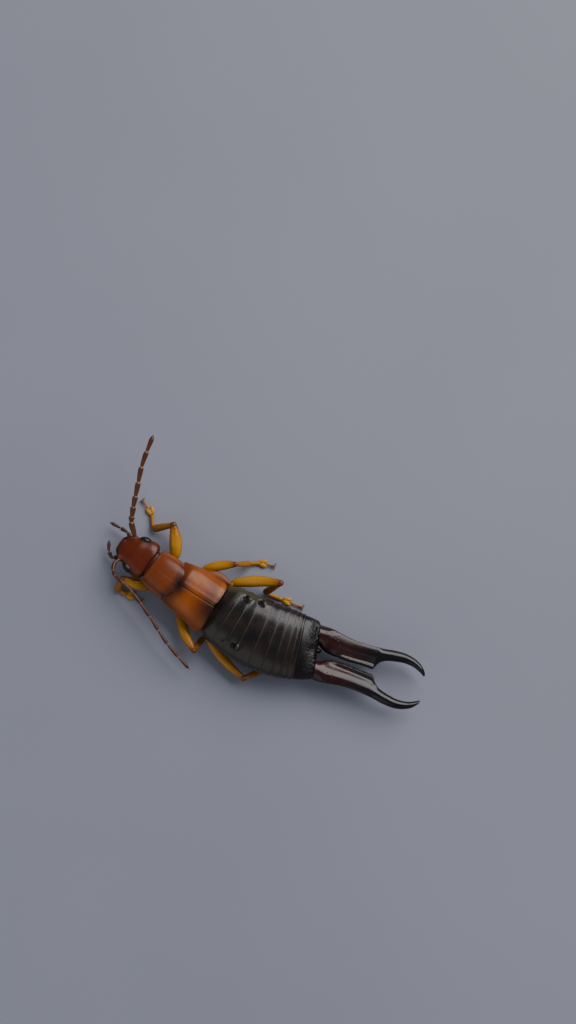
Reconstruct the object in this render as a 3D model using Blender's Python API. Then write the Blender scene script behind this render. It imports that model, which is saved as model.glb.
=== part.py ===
"""Male earwig at life size, standing still with its pincers half open.

Every size below is a real one in millimetres. X runs towards the head, Y to the animal's
left and Z up, with the floor at Z = 0 and the origin under the middle of the animal.
"""
import math

import bmesh
import bpy
import numpy as np
from mathutils import Matrix, Vector

MM = 0.001          # metres in one of the units used below
GAP = 0.28          # clear space between two neighbouring parts
MIDDLE = (0.15, 0.91)   # moves the middle of the animal's footprint onto the origin

# Head: measured from the middle of its hind edge, turned to the animal's right
HEAD_AT = (8.42, 0.30, 1.72)
HEAD_TURN = -9.5
HEAD_NOD = 4.0
HEAD_LENGTH = 2.44
HEAD_BEHIND = 0.22
HEAD_HALF_WIDTH = 1.42
HEAD_WIDEST_AT = 0.50
HEAD_TOP = 0.62
HEAD_BOTTOM = 0.52
HEAD_NOTCH = 0.12

EYE_AT = (1.15, 1.13, 0.12)
EYE_SIZE = (0.43, 0.22, 0.34)
SOCKET_AT = (1.80, 0.86, 0.16)
SOCKET_SIZE = (0.24, 0.24, 0.20)
LIP_AT = (2.28, 0.0, 0.12)
LIP_SIZE = (0.26, 0.44, 0.13)
THROAT_AT = (1.55, 0.0, -0.40)
THROAT_SIZE = (0.75, 0.46, 0.22)
JAW_SPINE = ((1.62, 0.66, -0.16), (2.12, 0.55, -0.18), (2.46, 0.17, -0.18))
JAW_HALF_WIDTHS = (0.20, 0.24, 0.24, 0.21, 0.16, 0.07)
JAW_HALF_HEIGHTS = (0.14, 0.19, 0.19, 0.16, 0.13, 0.06)

# Feelers and palps: spine points in the animal's own frame
ANTENNA_RIGHT = ((10.30, -1.18, 2.02), (10.69, -1.68, 2.20), (10.92, -2.40, 2.45),
                 (11.32, -4.08, 2.90), (11.58, -5.20, 3.15), (11.78, -7.58, 3.60))
ANTENNA_LEFT = ((10.56, 1.34, 2.00), (10.44, 1.74, 2.12), (10.16, 2.04, 2.22), (9.60, 2.24, 2.32),
                (8.90, 2.48, 2.36), (6.99, 3.49, 2.20), (4.93, 4.77, 1.95), (2.89, 5.69, 1.75))
ANTENNA_JOINTS_RIGHT = (1.05, 0.45, 0.75, 0.80, 1.05, 1.15, 1.20, 1.30)
ANTENNA_JOINTS_LEFT = (0.85, 0.40, 0.75, 0.85, 1.00, 1.10, 1.10, 1.15, 1.15, 1.10)
ANTENNA_THICK = 0.50
PALP_RIGHT = ((10.42, -0.80, 0.80), (10.75, -1.02, 0.82), (11.25, -1.08, 0.82), (12.13, -1.14, 0.80))
PALP_LEFT = ((10.62, 0.78, 0.80), (10.94, 1.00, 0.84), (11.32, 0.70, 0.86), (11.65, 0.01, 0.84))
PALP_JOINTS = (0.42, 0.55, 0.80)
PALP_THICK = 0.48

# Back shields
SHIELD_THICK = 0.50
SHIELD_DIP = 0.14                   # how far the front edges lie lower
PRONOTUM_AT = (7.04, 0.65)
PRONOTUM_TURN = -11.5
PRONOTUM_LENGTH = 2.12
PRONOTUM_HALVES = (1.26, 1.42)      # half widths at the front and the rear
PRONOTUM_BOW = 0.55
PRONOTUM_TOP = 2.90
PRONOTUM_DROP = 0.62

WINGS_AT = (5.72, 0.80)
WINGS_TURN = -7.0
WING_LENGTH = 2.72
WING_OUTER = {"left": (1.68, 2.14), "right": (1.64, 1.80)}
WING_LEAD = {"left": 0.58, "right": 0.44}
WING_TOP = 3.04
WING_SIDE = 1.82
WING_REAR_CURVE = 0.30

# Trunk under the shields
KEEL_HALF = 0.44
KEEL_BELLY = 0.64
FLANK_HEIGHT = 1.36
FLANKS = ((4.50, 1.16, 0.70), (5.90, 0.90, 0.66), (5.70, -1.10, 0.66))
FLANK_SIZE = (0.46, 0.20)
SIDE_PLATE = ((5.30, -0.14), (4.60, -0.50), (3.64, -0.78), (2.74, -0.74))
SIDE_PLATE_HEIGHT = 1.41
SIDE_PLATE_HALF_WIDTHS = (0.26, 0.38, 0.40, 0.12)
SIDE_PLATE_HALF_HEIGHTS = (0.14, 0.16, 0.16, 0.10)
TRUNK_TURN = -9.5
TRUNK_AT_NECK = 0.35
TRUNK_SLANT = 0.154
TRUNK_STATIONS = ((8.00, 0.55, 1.88, 1.20), (7.75, 0.74, 1.92, 1.14), (7.00, 0.84, 1.98, 1.14),
                  (6.20, 0.84, 2.02, 1.14), (5.20, 1.00, 2.10, 1.14), (4.40, 1.06, 2.10, 1.14),
                  (3.94, 0.96, 2.00, 1.20))
KEEL_STATIONS = ((7.9, 0.6), (7.5, 1.0), (4.0, 1.0), (3.8, 0.6))
KEEL_TOP = 1.40

# Abdomen: its middle line is an arc, measured rearwards from its widest place
ARC_RADIUS = 15.0
ARC_AT = (-0.20, 1.51)
ABDOMEN_SEAM = 1.92
ABDOMEN_TOP = 3.12
ABDOMEN_BELLY = 0.92
ABDOMEN_HALF = 2.47
ABDOMEN_WIDEST = -1.0
ABDOMEN_FRONT = 2.82
COLLAR_FRONT = 3.50
COLLAR_HALF = 1.12
COLLAR_TOP = 2.18
COLLAR_UNDER = 1.28
TERGITE_ENDS = (2.20, 1.42, 0.68, -0.34, -1.14, -1.80, -2.34, -2.74, -3.04)
TERGITE_STEP = 0.07
FOLDS = (1.30, 0.25)        # places of the gland folds along the abdomen
FOLD_SIZE = (0.26, 0.18, 0.16)
FOLD_HEIGHT = 2.42
FOLD_REACH = 0.80           # share of the half width
FOLD_SPLAY = 30.0
TAIL_FRONT = TERGITE_ENDS[-1] - GAP
TAIL_REAR = -4.24
TAIL_PROFILE = ((0.0, 0.10), (0.08, 0.03), (0.5, 0.0), (0.86, 0.04), (1.0, 0.20))
KNOB_SIZE = (0.26, 0.17, 0.32)
KNOB_HEIGHT = 1.62

# Pincers: measured from the middle of their roots, each arm in its own mirrored half
PINCERS_AT = (-4.48, 1.00, 1.50)
PINCERS_TURN = 6.0
ARM_SPINE = ((0.00, 1.22), (0.85, 1.20), (2.00, 1.16), (3.10, 1.20), (4.20, 1.32), (5.20, 1.50),
             (5.95, 1.57), (6.65, 1.47), (7.20, 1.22), (7.58, 0.90))
ARM_HALF_WIDTHS = (0.72, 0.60, 0.46, 0.41, 0.39, 0.37, 0.31, 0.26, 0.20, 0.07)
ARM_HALF_HEIGHTS = (0.74, 0.60, 0.48, 0.43, 0.40, 0.36, 0.31, 0.26, 0.20, 0.08)
FLANGE_INNER = 0.14
FLANGE_END = 4.10
FLANGE_THICK = 0.50
PINCER_DROP = 0.016         # fall of the arms per millimetre of their run
TEETH = 10
TOOTH_DEPTH = 0.07
ARMS = {"left": {"side": 1, "root": 0.46, "reach": 7.85},
        "right": {"side": -1, "root": 0.10, "reach": 7.62}}

# Legs: joint places in the animal's frame, and how thick each length is
HIP_THICK = 0.48
TARSUS_THICK = 0.48
SOLE_HEIGHT = 0.19
LEGS = {
    "front_right": {"root": (7.34, -0.16, 0.60), "hip": (7.00, -0.72, 0.74), "knee": (8.06, -2.78, 1.50),
                    "ankle": (9.30, -2.02, 0.34), "toes": ((9.80, -2.90), (10.20, -3.26), (10.86, -3.54)),
                    "bow": (-0.10, -0.02), "femur": 0.92, "tibia": 0.56},
    "front_left": {"root": (7.62, 1.22, 0.58), "hip": (7.74, 1.76, 0.68), "knee": (9.66, 2.04, 1.20),
                   "ankle": (9.72, 2.86, 0.34), "toes": ((9.02, 2.84), (8.50, 2.76), (7.86, 2.86)),
                   "bow": (0.0, 0.04), "femur": 0.80, "tibia": 0.54},
    "mid_right": {"root": (5.40, 0.06, 0.60), "hip": (4.94, -0.98, 0.70), "knee": (3.06, -2.10, 1.62),
                  "ankle": (2.18, -2.66, 0.34), "toes": ((1.58, -3.02), (1.18, -3.16), (0.52, -3.24)),
                  "bow": (-0.04, -0.12), "femur": 0.76, "tibia": 0.52},
    "mid_left": {"root": (5.60, 1.58, 0.60), "hip": (5.18, 2.60, 0.70), "knee": (3.14, 4.42, 1.62),
                 "ankle": (2.96, 3.38, 0.24), "toes": ((2.34, 2.44), (2.00, 1.96), (1.60, 1.40)),
                 "bow": (0.08, 0.10), "femur": 0.78, "tibia": 0.52},
    "hind_right": {"root": (3.50, 0.40, 0.60), "hip": (2.80, -0.84, 0.76), "knee": (-0.30, -2.24, 1.92),
                   "ankle": (0.40, -1.26, 0.34), "toes": ((-0.94, -1.38), (-1.56, -1.46), (-2.46, -1.46)),
                   "bow": (-0.04, -0.16), "femur": 0.84, "tibia": 0.52},
    "hind_left": {"root": (3.66, 2.06, 0.60), "hip": (2.84, 3.10, 1.08), "knee": (-0.74, 4.72, 0.98),
                  "ankle": (-1.95, 3.40, 0.34), "toes": ((-2.80, 2.92), (-3.36, 2.70), (-4.10, 2.52)),
                  "bow": (0.05, 0.16), "femur": 0.66, "tibia": 0.52},
}
LOBE_SIZE = (0.36, 0.20, 0.23)      # the two lobes of the middle foot joint
LOBE_APART = 0.13
LOBE_SPLAY = 14.0
CLAW_AHEAD = 0.28
CLAW_ASIDE = 0.32
CLAW_DROP = 0.10

COLORS = {"head": (0.10, 0.014, 0.006), "eye": (0.004, 0.004, 0.005), "feeler": (0.07, 0.022, 0.014),
          "pronotum": (0.20, 0.050, 0.012), "wing": (0.32, 0.085, 0.020), "thorax": (0.22, 0.060, 0.012),
          "abdomen": (0.012, 0.009, 0.009), "pincer": (0.045, 0.008, 0.008), "leg": (0.40, 0.20, 0.012)}

AROUND = 20


def clear_scene():
    """Start from an empty scene."""
    for item in list(bpy.data.objects):
        bpy.data.objects.remove(item, do_unlink=True)


def make_object(name, bm):
    """Turn a bmesh into a named object with its faces pointing out."""
    bmesh.ops.recalc_face_normals(bm, faces=bm.faces)
    mesh = bpy.data.meshes.new(name)
    bm.to_mesh(mesh)
    bm.free()
    item = bpy.data.objects.new(name, mesh)
    bpy.context.scene.collection.objects.link(item)
    return item


def turned(points, heading, at):
    """Turn points about Z by a heading in degrees and move them to a place."""
    spin = Matrix.Rotation(math.radians(heading), 3, "Z")
    place = Vector(at)
    return np.array([spin @ Vector(p) + place for p in points])


def through(stations, values, wanted):
    """Smooth curve through values at stations: a Catmull-Rom blend of its neighbours."""
    stations = np.asarray(stations, float)
    values = np.asarray(values, float)
    slopes = np.gradient(values, stations, axis=0)
    wanted = np.asarray(wanted, float)
    index = np.clip(np.searchsorted(stations, wanted) - 1, 0, len(stations) - 2)
    span = stations[index + 1] - stations[index]
    t = (wanted - stations[index]) / span
    if values.ndim > 1:
        t, span = t[:, None], span[:, None]
    h00, h10 = 2 * t**3 - 3 * t**2 + 1, t**3 - 2 * t**2 + t
    h01, h11 = 3 * t**2 - 2 * t**3, t**3 - t**2
    return (h00 * values[index] + h10 * span * slopes[index]
            + h01 * values[index + 1] + h11 * span * slopes[index + 1])


def path_through(points, count):
    """Evenly numbered points on a smooth curve through a few given ones."""
    points = np.asarray(points, float)
    along = np.concatenate([[0.0], np.cumsum(np.linalg.norm(np.diff(points, axis=0), axis=1))])
    return through(along, points, np.linspace(0.0, along[-1], count))


def loft(name, rings):
    """Closed body through rings of points in millimetres, its ends closed by fans."""
    bm = bmesh.new()
    rows = [[bm.verts.new(Vector(p) * MM) for p in ring] for ring in rings]
    count = len(rows[0])
    for row, following in zip(rows, rows[1:]):
        for i in range(count):
            j = (i + 1) % count
            bm.faces.new((row[i], row[j], following[j]))
            bm.faces.new((row[i], following[j], following[i]))
    for row, ring in ((rows[0], rings[0]), (rows[-1], rings[-1])):
        middle = bm.verts.new(Vector(np.mean(ring, axis=0)) * MM)
        for i in range(count):
            bm.faces.new((row[i], row[(i + 1) % count], middle))
    return make_object(name, bm)


def oval_ring(half_width, up, down, power, count):
    """Section in the YZ plane: a superellipse, taller above its seam than below it."""
    angle = np.linspace(0.0, 2 * math.pi, count, endpoint=False)
    side, rise = np.cos(angle), np.sin(angle)
    y = half_width * np.sign(side) * np.abs(side) ** (2 / power)
    z = np.where(rise > 0, up, down) * np.sign(rise) * np.abs(rise) ** (2 / power)
    return np.stack([np.zeros(count), y, z], axis=1)


def tube(name, points, half_widths, half_heights, sides=8):
    """Round-ended tube along a path; its section keeps one axis level."""
    points = np.asarray(points, float)
    heads = np.gradient(points, axis=0)
    rings = []
    turn = np.linspace(0.0, 2 * math.pi, sides, endpoint=False) + math.pi / sides
    for point, head, wide, high in zip(points, heads, half_widths, half_heights):
        head = head / np.linalg.norm(head)
        level = np.cross((0.0, 0.0, 1.0), head)
        level = level / np.linalg.norm(level)
        rise = np.cross(head, level)
        rings.append(point + np.outer(np.cos(turn) * wide, level) + np.outer(np.sin(turn) * high, rise))
    return loft(name, rings)


def spindle(name, start, end, thick, belly=0.45, waist=0.62, rings=7, sides=8, bow=(0.0, 0.0)):
    """Limb length: thickest at belly along its run, round at its ends, bowed sideways in plan."""
    start, end = np.asarray(start, float), np.asarray(end, float)
    t = np.sin(np.linspace(-math.pi / 2, math.pi / 2, rings)) * 0.5 + 0.5
    bulge = np.where(t < belly, t / belly, (1 - t) / (1 - belly))
    half = thick / 2 * (waist + (1 - waist) * np.sin(bulge * math.pi / 2))
    half[[0, -1]] *= 0.55
    points = start + np.outer(t, end - start)
    points[:, :2] += np.outer(np.sin(t * math.pi), bow)
    return tube(name, points, half, half, sides)


def ball(name, at, sizes, heading=0.0, segments=16, rings=10):
    """Ellipsoid given by its half sizes."""
    bm = bmesh.new()
    bmesh.ops.create_uvsphere(bm, u_segments=segments, v_segments=rings, radius=1.0)
    spin = Matrix.Rotation(math.radians(heading), 4, "Z")
    fit = Matrix.Translation(Vector(at) * MM) @ spin @ Matrix.Diagonal((*[s * MM for s in sizes], 1.0))
    bmesh.ops.transform(bm, matrix=fit, verts=bm.verts)
    return make_object(name, bm)


def box(name, low, high):
    """Plain block between two corners."""
    bm = bmesh.new()
    bmesh.ops.create_cube(bm, size=1.0)
    low, high = Vector(low) * MM, Vector(high) * MM
    fit = Matrix.Translation((low + high) / 2) @ Matrix.Diagonal((*(high - low), 1.0))
    bmesh.ops.transform(bm, matrix=fit, verts=bm.verts)
    return make_object(name, bm)


def plate(name, outer, inner):
    """Closed plate between an outer and an inner grid of points, joined all round its rim."""
    rows, columns = outer.shape[:2]
    bm = bmesh.new()
    upper, lower = [[[bm.verts.new(Vector(p) * MM) for p in row] for row in grid]
                    for grid in (outer, inner)]
    for sheet in (upper, lower):
        for i in range(rows - 1):
            for j in range(columns - 1):
                bm.faces.new((sheet[i][j], sheet[i + 1][j], sheet[i + 1][j + 1]))
                bm.faces.new((sheet[i][j], sheet[i + 1][j + 1], sheet[i][j + 1]))
    rim = ([(0, j) for j in range(columns)] + [(i, columns - 1) for i in range(1, rows)]
           + [(rows - 1, j) for j in range(columns - 2, -1, -1)] + [(i, 0) for i in range(rows - 2, 0, -1)])
    for (a, b), (c, d) in zip(rim, rim[1:] + rim[:1]):
        bm.faces.new((upper[a][b], upper[c][d], lower[c][d]))
        bm.faces.new((upper[a][b], lower[c][d], lower[a][b]))
    return make_object(name, bm)


def combine(host, others, operation):
    """Boolean the others into the host, apply it and remove them."""
    group = bpy.data.collections.new("group")
    bpy.context.scene.collection.children.link(group)
    for item in others:
        bpy.context.scene.collection.objects.unlink(item)
        group.objects.link(item)
    step = host.modifiers.new("combine", "BOOLEAN")
    step.operation = operation
    step.operand_type = "COLLECTION"
    step.collection = group
    bpy.context.view_layer.update()
    depsgraph = bpy.context.evaluated_depsgraph_get()
    mesh = bpy.data.meshes.new_from_object(host.evaluated_get(depsgraph))
    host.modifiers.clear()
    host.data = mesh
    for item in others:
        bpy.data.objects.remove(item, do_unlink=True)
    bpy.data.collections.remove(group)
    tidy_surface(host)
    return host


def tidy_surface(item):
    """Weld stray points and keep only the largest closed surface."""
    bm = bmesh.new()
    bm.from_mesh(item.data)
    bmesh.ops.remove_doubles(bm, verts=bm.verts, dist=0.004 * MM)
    bmesh.ops.dissolve_degenerate(bm, edges=bm.edges, dist=0.002 * MM)
    bmesh.ops.triangulate(bm, faces=bm.faces)
    unseen = set(bm.faces)
    shells = []
    while unseen:
        front = [unseen.pop()]
        shell = list(front)
        while front:
            face = front.pop()
            for edge in face.edges:
                for beside in edge.link_faces:
                    if beside in unseen:
                        unseen.discard(beside)
                        shell.append(beside)
                        front.append(beside)
        shells.append(shell)
    shells.sort(key=len)
    drop = [face for shell in shells[:-1] for face in shell]
    bmesh.ops.delete(bm, geom=drop, context="FACES")
    bm.to_mesh(item.data)
    bm.free()


def finish(item, name, color, roughness):
    """Name a part, give it its own material and smooth its round faces."""
    item.name = name
    item.data.name = name
    material = bpy.data.materials.new(name)
    material.use_nodes = True
    shader = material.node_tree.nodes["Principled BSDF"]
    shader.inputs["Base Color"].default_value = (*color, 1.0)
    shader.inputs["Roughness"].default_value = roughness
    shader.inputs["Metallic"].default_value = 0.0
    item.data.materials.clear()
    item.data.materials.append(material)
    item.data.shade_smooth()
    item.data.set_sharp_from_angle(angle=math.radians(40))
    item.parent = bpy.data.objects["earwig"]
    return item


def head_half_width(x):
    """Plan of the head: blunt behind its widest place, drawn in to the mouth before it."""
    ahead = np.clip((x - HEAD_WIDEST_AT) / (HEAD_LENGTH - HEAD_WIDEST_AT), 0.0, 1.0)
    behind = np.clip((HEAD_WIDEST_AT - x) / (HEAD_WIDEST_AT + HEAD_BEHIND), 0.0, 1.0)
    return HEAD_HALF_WIDTH * (1 - ahead**1.25) ** 0.45 * (1 - behind**4.5) ** 0.42


def place_on_head(item):
    """Turn a piece made in the head's own frame and set it on the neck."""
    nod = Matrix.Rotation(math.radians(HEAD_NOD), 4, "Y")
    spin = Matrix.Rotation(math.radians(HEAD_TURN), 4, "Z")
    item.data.transform(Matrix.Translation(Vector(HEAD_AT) * MM) @ spin @ nod)
    return item


def make_head():
    """Heart-shaped capsule with lip, jaws, throat plate, feeler sockets and eye cups."""
    t = np.sin(np.linspace(-math.pi / 2, math.pi / 2, 19)) * 0.5 + 0.5
    rings = []
    for x in -HEAD_BEHIND + 0.004 + t * (HEAD_LENGTH + HEAD_BEHIND - 0.012):
        half = float(head_half_width(x))
        fall = float(np.clip((x - 1.0) / (HEAD_LENGTH - 1.0), 0.0, 1.0)) ** 1.6
        swell = min(1.0, half / HEAD_HALF_WIDTH * 1.15)
        ring = oval_ring(half, HEAD_TOP * swell * (1 - 0.35 * fall), HEAD_BOTTOM * swell, 2.3, AROUND)
        ring[:, 0] = x
        fade = np.clip((0.7 - x) / 0.7, 0.0, 1.0)
        ring[:, 0] += HEAD_NOTCH * fade * np.exp(-(ring[:, 1] / 0.5) ** 2)
        rings.append(ring)
    capsule = loft("head", rings)
    extras = [ball("lip", LIP_AT, LIP_SIZE, segments=12, rings=6),
              ball("throat", THROAT_AT, THROAT_SIZE, segments=10, rings=6)]
    for side in (1, -1):
        jaw = path_through(np.array(JAW_SPINE) * (1, side, 1), len(JAW_HALF_WIDTHS))
        extras.append(tube("jaw", jaw, JAW_HALF_WIDTHS, JAW_HALF_HEIGHTS, sides=6))
        x, y, z = SOCKET_AT
        extras.append(ball("socket", (x, y * side, z), SOCKET_SIZE, segments=10, rings=6))
    combine(capsule, extras, "UNION")
    cups = []
    for side in (1, -1):
        x, y, z = EYE_AT
        grown = (EYE_SIZE[0] + 1.3 * GAP, 1.5 * GAP, EYE_SIZE[2] + 1.3 * GAP)
        cups.append(ball("cup", (x, (y + 0.4 * GAP) * side, z), grown, segments=16, rings=10))
    combine(capsule, cups, "DIFFERENCE")
    return finish(place_on_head(capsule), "head", COLORS["head"], 0.25)


def make_eye(side, name):
    """Compound eye: an oval bead lying along the flank of the head."""
    x, y, z = EYE_AT
    eye = ball(name, (x, y * side, z), EYE_SIZE, segments=14, rings=8)
    inner = sorted((0.0, y * side))
    combine(eye, [box("inner", (0, inner[0], -1), (2, inner[1], 1))], "DIFFERENCE")
    return finish(place_on_head(eye), name, COLORS["eye"], 0.2)


def beaded_feeler(name, points, joints, thick):
    """Feeler or palp: one tube that narrows at each joint and ends in a fine tip."""
    steps, tip = 4, thick * 0.38
    total = sum(joints)
    shares = np.cumsum((0.0,) + tuple(joints)) / total
    along, half = [], []
    for first, last in zip(shares, shares[1:]):
        for k in range(steps):
            t = k / steps
            along.append(first + (last - first) * t)
            half.append(thick / 2 * (0.78 + 0.22 * math.sin(math.pi * t) ** 0.7))
    along.append(1.0)
    half.append(tip / 2)
    half[-2] = (thick * 0.6 + tip * 0.4) / 2
    fine = path_through(points, 200)
    run = np.concatenate([[0.0], np.cumsum(np.linalg.norm(np.diff(fine, axis=0), axis=1))])
    wanted = np.array(along) * run[-1]
    spine = np.stack([np.interp(wanted, run, fine[:, k]) for k in range(3)], axis=1)
    return tube(name, spine, half, half, sides=7)


def make_pronotum():
    """Neck shield: nearly square, domed along the middle, its hind edge bowed."""
    v, u = np.meshgrid(np.linspace(0, 1, 9), np.linspace(-1, 1, 15), indexing="ij")
    front, rear = PRONOTUM_HALVES
    half = front + (rear - front) * np.sin(v * math.pi / 2)
    x = PRONOTUM_LENGTH / 2 - v * (PRONOTUM_LENGTH - PRONOTUM_BOW * np.abs(u) ** 2.4)
    x -= 0.10 * (1 - v) * np.abs(u) ** 6
    y = half * u * (1 - 0.06 * (1 - v) ** 6)
    z = -PRONOTUM_DROP * np.abs(u) ** 2.2 - SHIELD_DIP * (1 - v) ** 2
    top = np.stack([x, y, z], axis=-1)
    spot = (*PRONOTUM_AT, PRONOTUM_TOP)
    top = turned(top.reshape(-1, 3), PRONOTUM_TURN, spot).reshape(top.shape)
    under = top.copy()
    under[..., :2] += (np.array(PRONOTUM_AT) - under[..., :2]) * 0.05
    under[..., 2] -= SHIELD_THICK
    shield = plate("pronotum", top, under)
    return finish(shield, "pronotum", COLORS["pronotum"], 0.3)


def make_wing_case(side, which):
    """Short wing case: a curved plate from the middle seam round to the flank."""
    name = "wing_case_" + which
    front, rear = WING_OUTER[which]
    v, u = np.meshgrid(np.linspace(0, 1, 10), np.linspace(0, 1, 13), indexing="ij")
    seam = GAP / 2
    outer = front + (rear - front) * np.sin(v * math.pi / 2) ** 0.8
    angle = u * math.radians(84)
    y = seam + (outer - seam) * np.sin(angle) ** 0.92
    height = WING_TOP - WING_SIDE
    z = WING_SIDE + height * np.cos(angle) ** 0.75 - SHIELD_DIP * (1 - v) ** 2
    lead = WING_LEAD[which] * np.sin(angle) ** 10
    x = lead - v * (WING_LENGTH + lead) + WING_REAR_CURVE * (v ** 3) * (np.abs(u - 0.35) ** 2)
    top = np.stack([x, y * side, z], axis=-1)
    inner = top.copy()
    inner[..., 1] = side * (seam + (outer - SHIELD_THICK - seam) * np.sin(angle) ** 0.92)
    inner[..., 2] = WING_SIDE + (height - SHIELD_THICK) * np.cos(angle) ** 0.75 - SHIELD_DIP * (1 - v) ** 2
    spot = (*WINGS_AT, 0.0)
    top = turned(top.reshape(-1, 3), WINGS_TURN, spot).reshape(top.shape)
    inner = turned(inner.reshape(-1, 3), WINGS_TURN, spot).reshape(top.shape)
    case = plate(name, top, inner)
    return finish(case, name, COLORS["wing"], 0.25)


def trunk_middle(x):
    """Sideways place of the trunk's middle line at a distance along it."""
    return TRUNK_AT_NECK + (HEAD_AT[0] - x) * TRUNK_SLANT


def make_thorax():
    """Trunk under the shields: a flat core, a narrow breast keel and a swelling over each hip."""
    rings = []
    for x, half, top, bottom in TRUNK_STATIONS:
        deep = (top - bottom) / 2
        ring = oval_ring(half, deep, deep, 2.6, AROUND)
        rings.append(turned(ring, TRUNK_TURN, (x, trunk_middle(x), bottom + deep)))
    core = loft("thorax", rings)
    keel = []
    deep = (KEEL_TOP - KEEL_BELLY) / 2
    for x, share in KEEL_STATIONS:
        ring = oval_ring(KEEL_HALF * share, deep * share, deep * share, 3.0, 12)
        keel.append(turned(ring, TRUNK_TURN, (x, trunk_middle(x), KEEL_BELLY + deep)))
    extras = [loft("keel", keel)]
    for x, reach, length in FLANKS:
        at = (x, trunk_middle(x) + reach, FLANK_HEIGHT)
        extras.append(ball("flank", at, (length, *FLANK_SIZE), TRUNK_TURN, segments=12, rings=6))
    path = path_through([(x, y, SIDE_PLATE_HEIGHT) for x, y in SIDE_PLATE], 9)
    share, knots = np.linspace(0, 1, 9), np.linspace(0, 1, len(SIDE_PLATE))
    extras.append(tube("side_plate", path, np.interp(share, knots, SIDE_PLATE_HALF_WIDTHS),
                       np.interp(share, knots, SIDE_PLATE_HALF_HEIGHTS)))
    combine(core, extras, "UNION")
    return finish(core, "thorax", COLORS["thorax"], 0.4)


def arc_place(s):
    """Point and heading of the abdomen's middle line at a distance ahead of its widest place."""
    angle = s / ARC_RADIUS
    x = ARC_AT[0] + ARC_RADIUS * math.sin(angle)
    y = ARC_AT[1] - ARC_RADIUS * (1 - math.cos(angle))
    return x, y, -math.degrees(angle)


def abdomen_half(s):
    """Half width of the abdomen: widest near its middle, drawn in more slowly in front."""
    away = s - ABDOMEN_WIDEST
    return ABDOMEN_HALF * (1 - (away / (9.6 if away > 0 else 7.6)) ** 2)


def abdomen_top(s):
    """Height of the abdomen's back above the floor."""
    return ABDOMEN_TOP - 0.030 * (s + 0.2) ** 2 * (1.0 if s > 0 else 1.25)


def abdomen_belly(s):
    """Height of the belly above the floor."""
    return ABDOMEN_BELLY + (0.038 if s > 0 else 0.018) * (s + 0.2) ** 2


def abdomen_ring(s, shrink=0.0):
    """Section across the abdomen, made smaller all round by shrink."""
    x, y, heading = arc_place(s)
    half = abdomen_half(s) - shrink
    up = abdomen_top(s) - ABDOMEN_SEAM - shrink
    down = ABDOMEN_SEAM - abdomen_belly(s) - shrink
    return turned(oval_ring(half, up, down, 2.25, AROUND + 8), heading, (x, y, ABDOMEN_SEAM))


def collar_ring(s, half):
    """Section of the low waist that runs in under the wing cases."""
    x, y, heading = arc_place(s)
    middle = (COLLAR_TOP + COLLAR_UNDER) / 2
    deep = (COLLAR_TOP - COLLAR_UNDER) / 2 * half / COLLAR_HALF
    return turned(oval_ring(half, deep, deep, 2.25, AROUND + 8), heading, (x, y, middle))


def make_abdomen():
    """Nine overlapping rings behind a low collar that runs in under the wing cases."""
    rings = [collar_ring(COLLAR_FRONT, COLLAR_HALF * 0.8), collar_ring(COLLAR_FRONT - 0.10, COLLAR_HALF),
             collar_ring(ABDOMEN_FRONT + 0.02, COLLAR_HALF)]
    start = ABDOMEN_FRONT
    for end in TERGITE_ENDS:
        for t, drop in ((0.0, 1.0), (0.5, 0.3), (0.97, 0.0)):
            rings.append(abdomen_ring(start + (end - start) * t, TERGITE_STEP * drop))
        start = end
    rings.append(abdomen_ring(start, TERGITE_STEP))
    body = loft("abdomen", rings)
    folds = []
    for s in FOLDS:
        x, y, heading = arc_place(s)
        spin = math.radians(heading)
        for side in (1, -1):
            reach = abdomen_half(s) * FOLD_REACH * side
            at = (x - math.sin(spin) * reach, y + math.cos(spin) * reach, FOLD_HEIGHT)
            folds.append(ball("fold", at, FOLD_SIZE, heading + FOLD_SPLAY * side, segments=10, rings=6))
    combine(body, folds, "UNION")
    return finish(body, "abdomen", COLORS["abdomen"], 0.22)


def make_tail_plate():
    """Last ring of the body, blunt and broad, with the small plate between the pincers."""
    rings = []
    for t, shrink in TAIL_PROFILE:
        rings.append(abdomen_ring(TAIL_FRONT + (TAIL_REAR - TAIL_FRONT) * t, shrink))
    body = loft("tail_plate", rings)
    x, y, heading = arc_place(TAIL_REAR)
    knob = ball("knob", (x, y, KNOB_HEIGHT), KNOB_SIZE, heading, segments=10, rings=6)
    combine(body, [knob], "UNION")
    return finish(body, "tail_plate", COLORS["abdomen"], 0.3)


def place_pincer(item):
    """Turn a pincer made in its own frame and set it behind the body."""
    spin = Matrix.Rotation(math.radians(PINCERS_TURN), 4, "Z")
    item.data.transform(Matrix.Translation(Vector(PINCERS_AT) * MM) @ spin)
    return item


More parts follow.
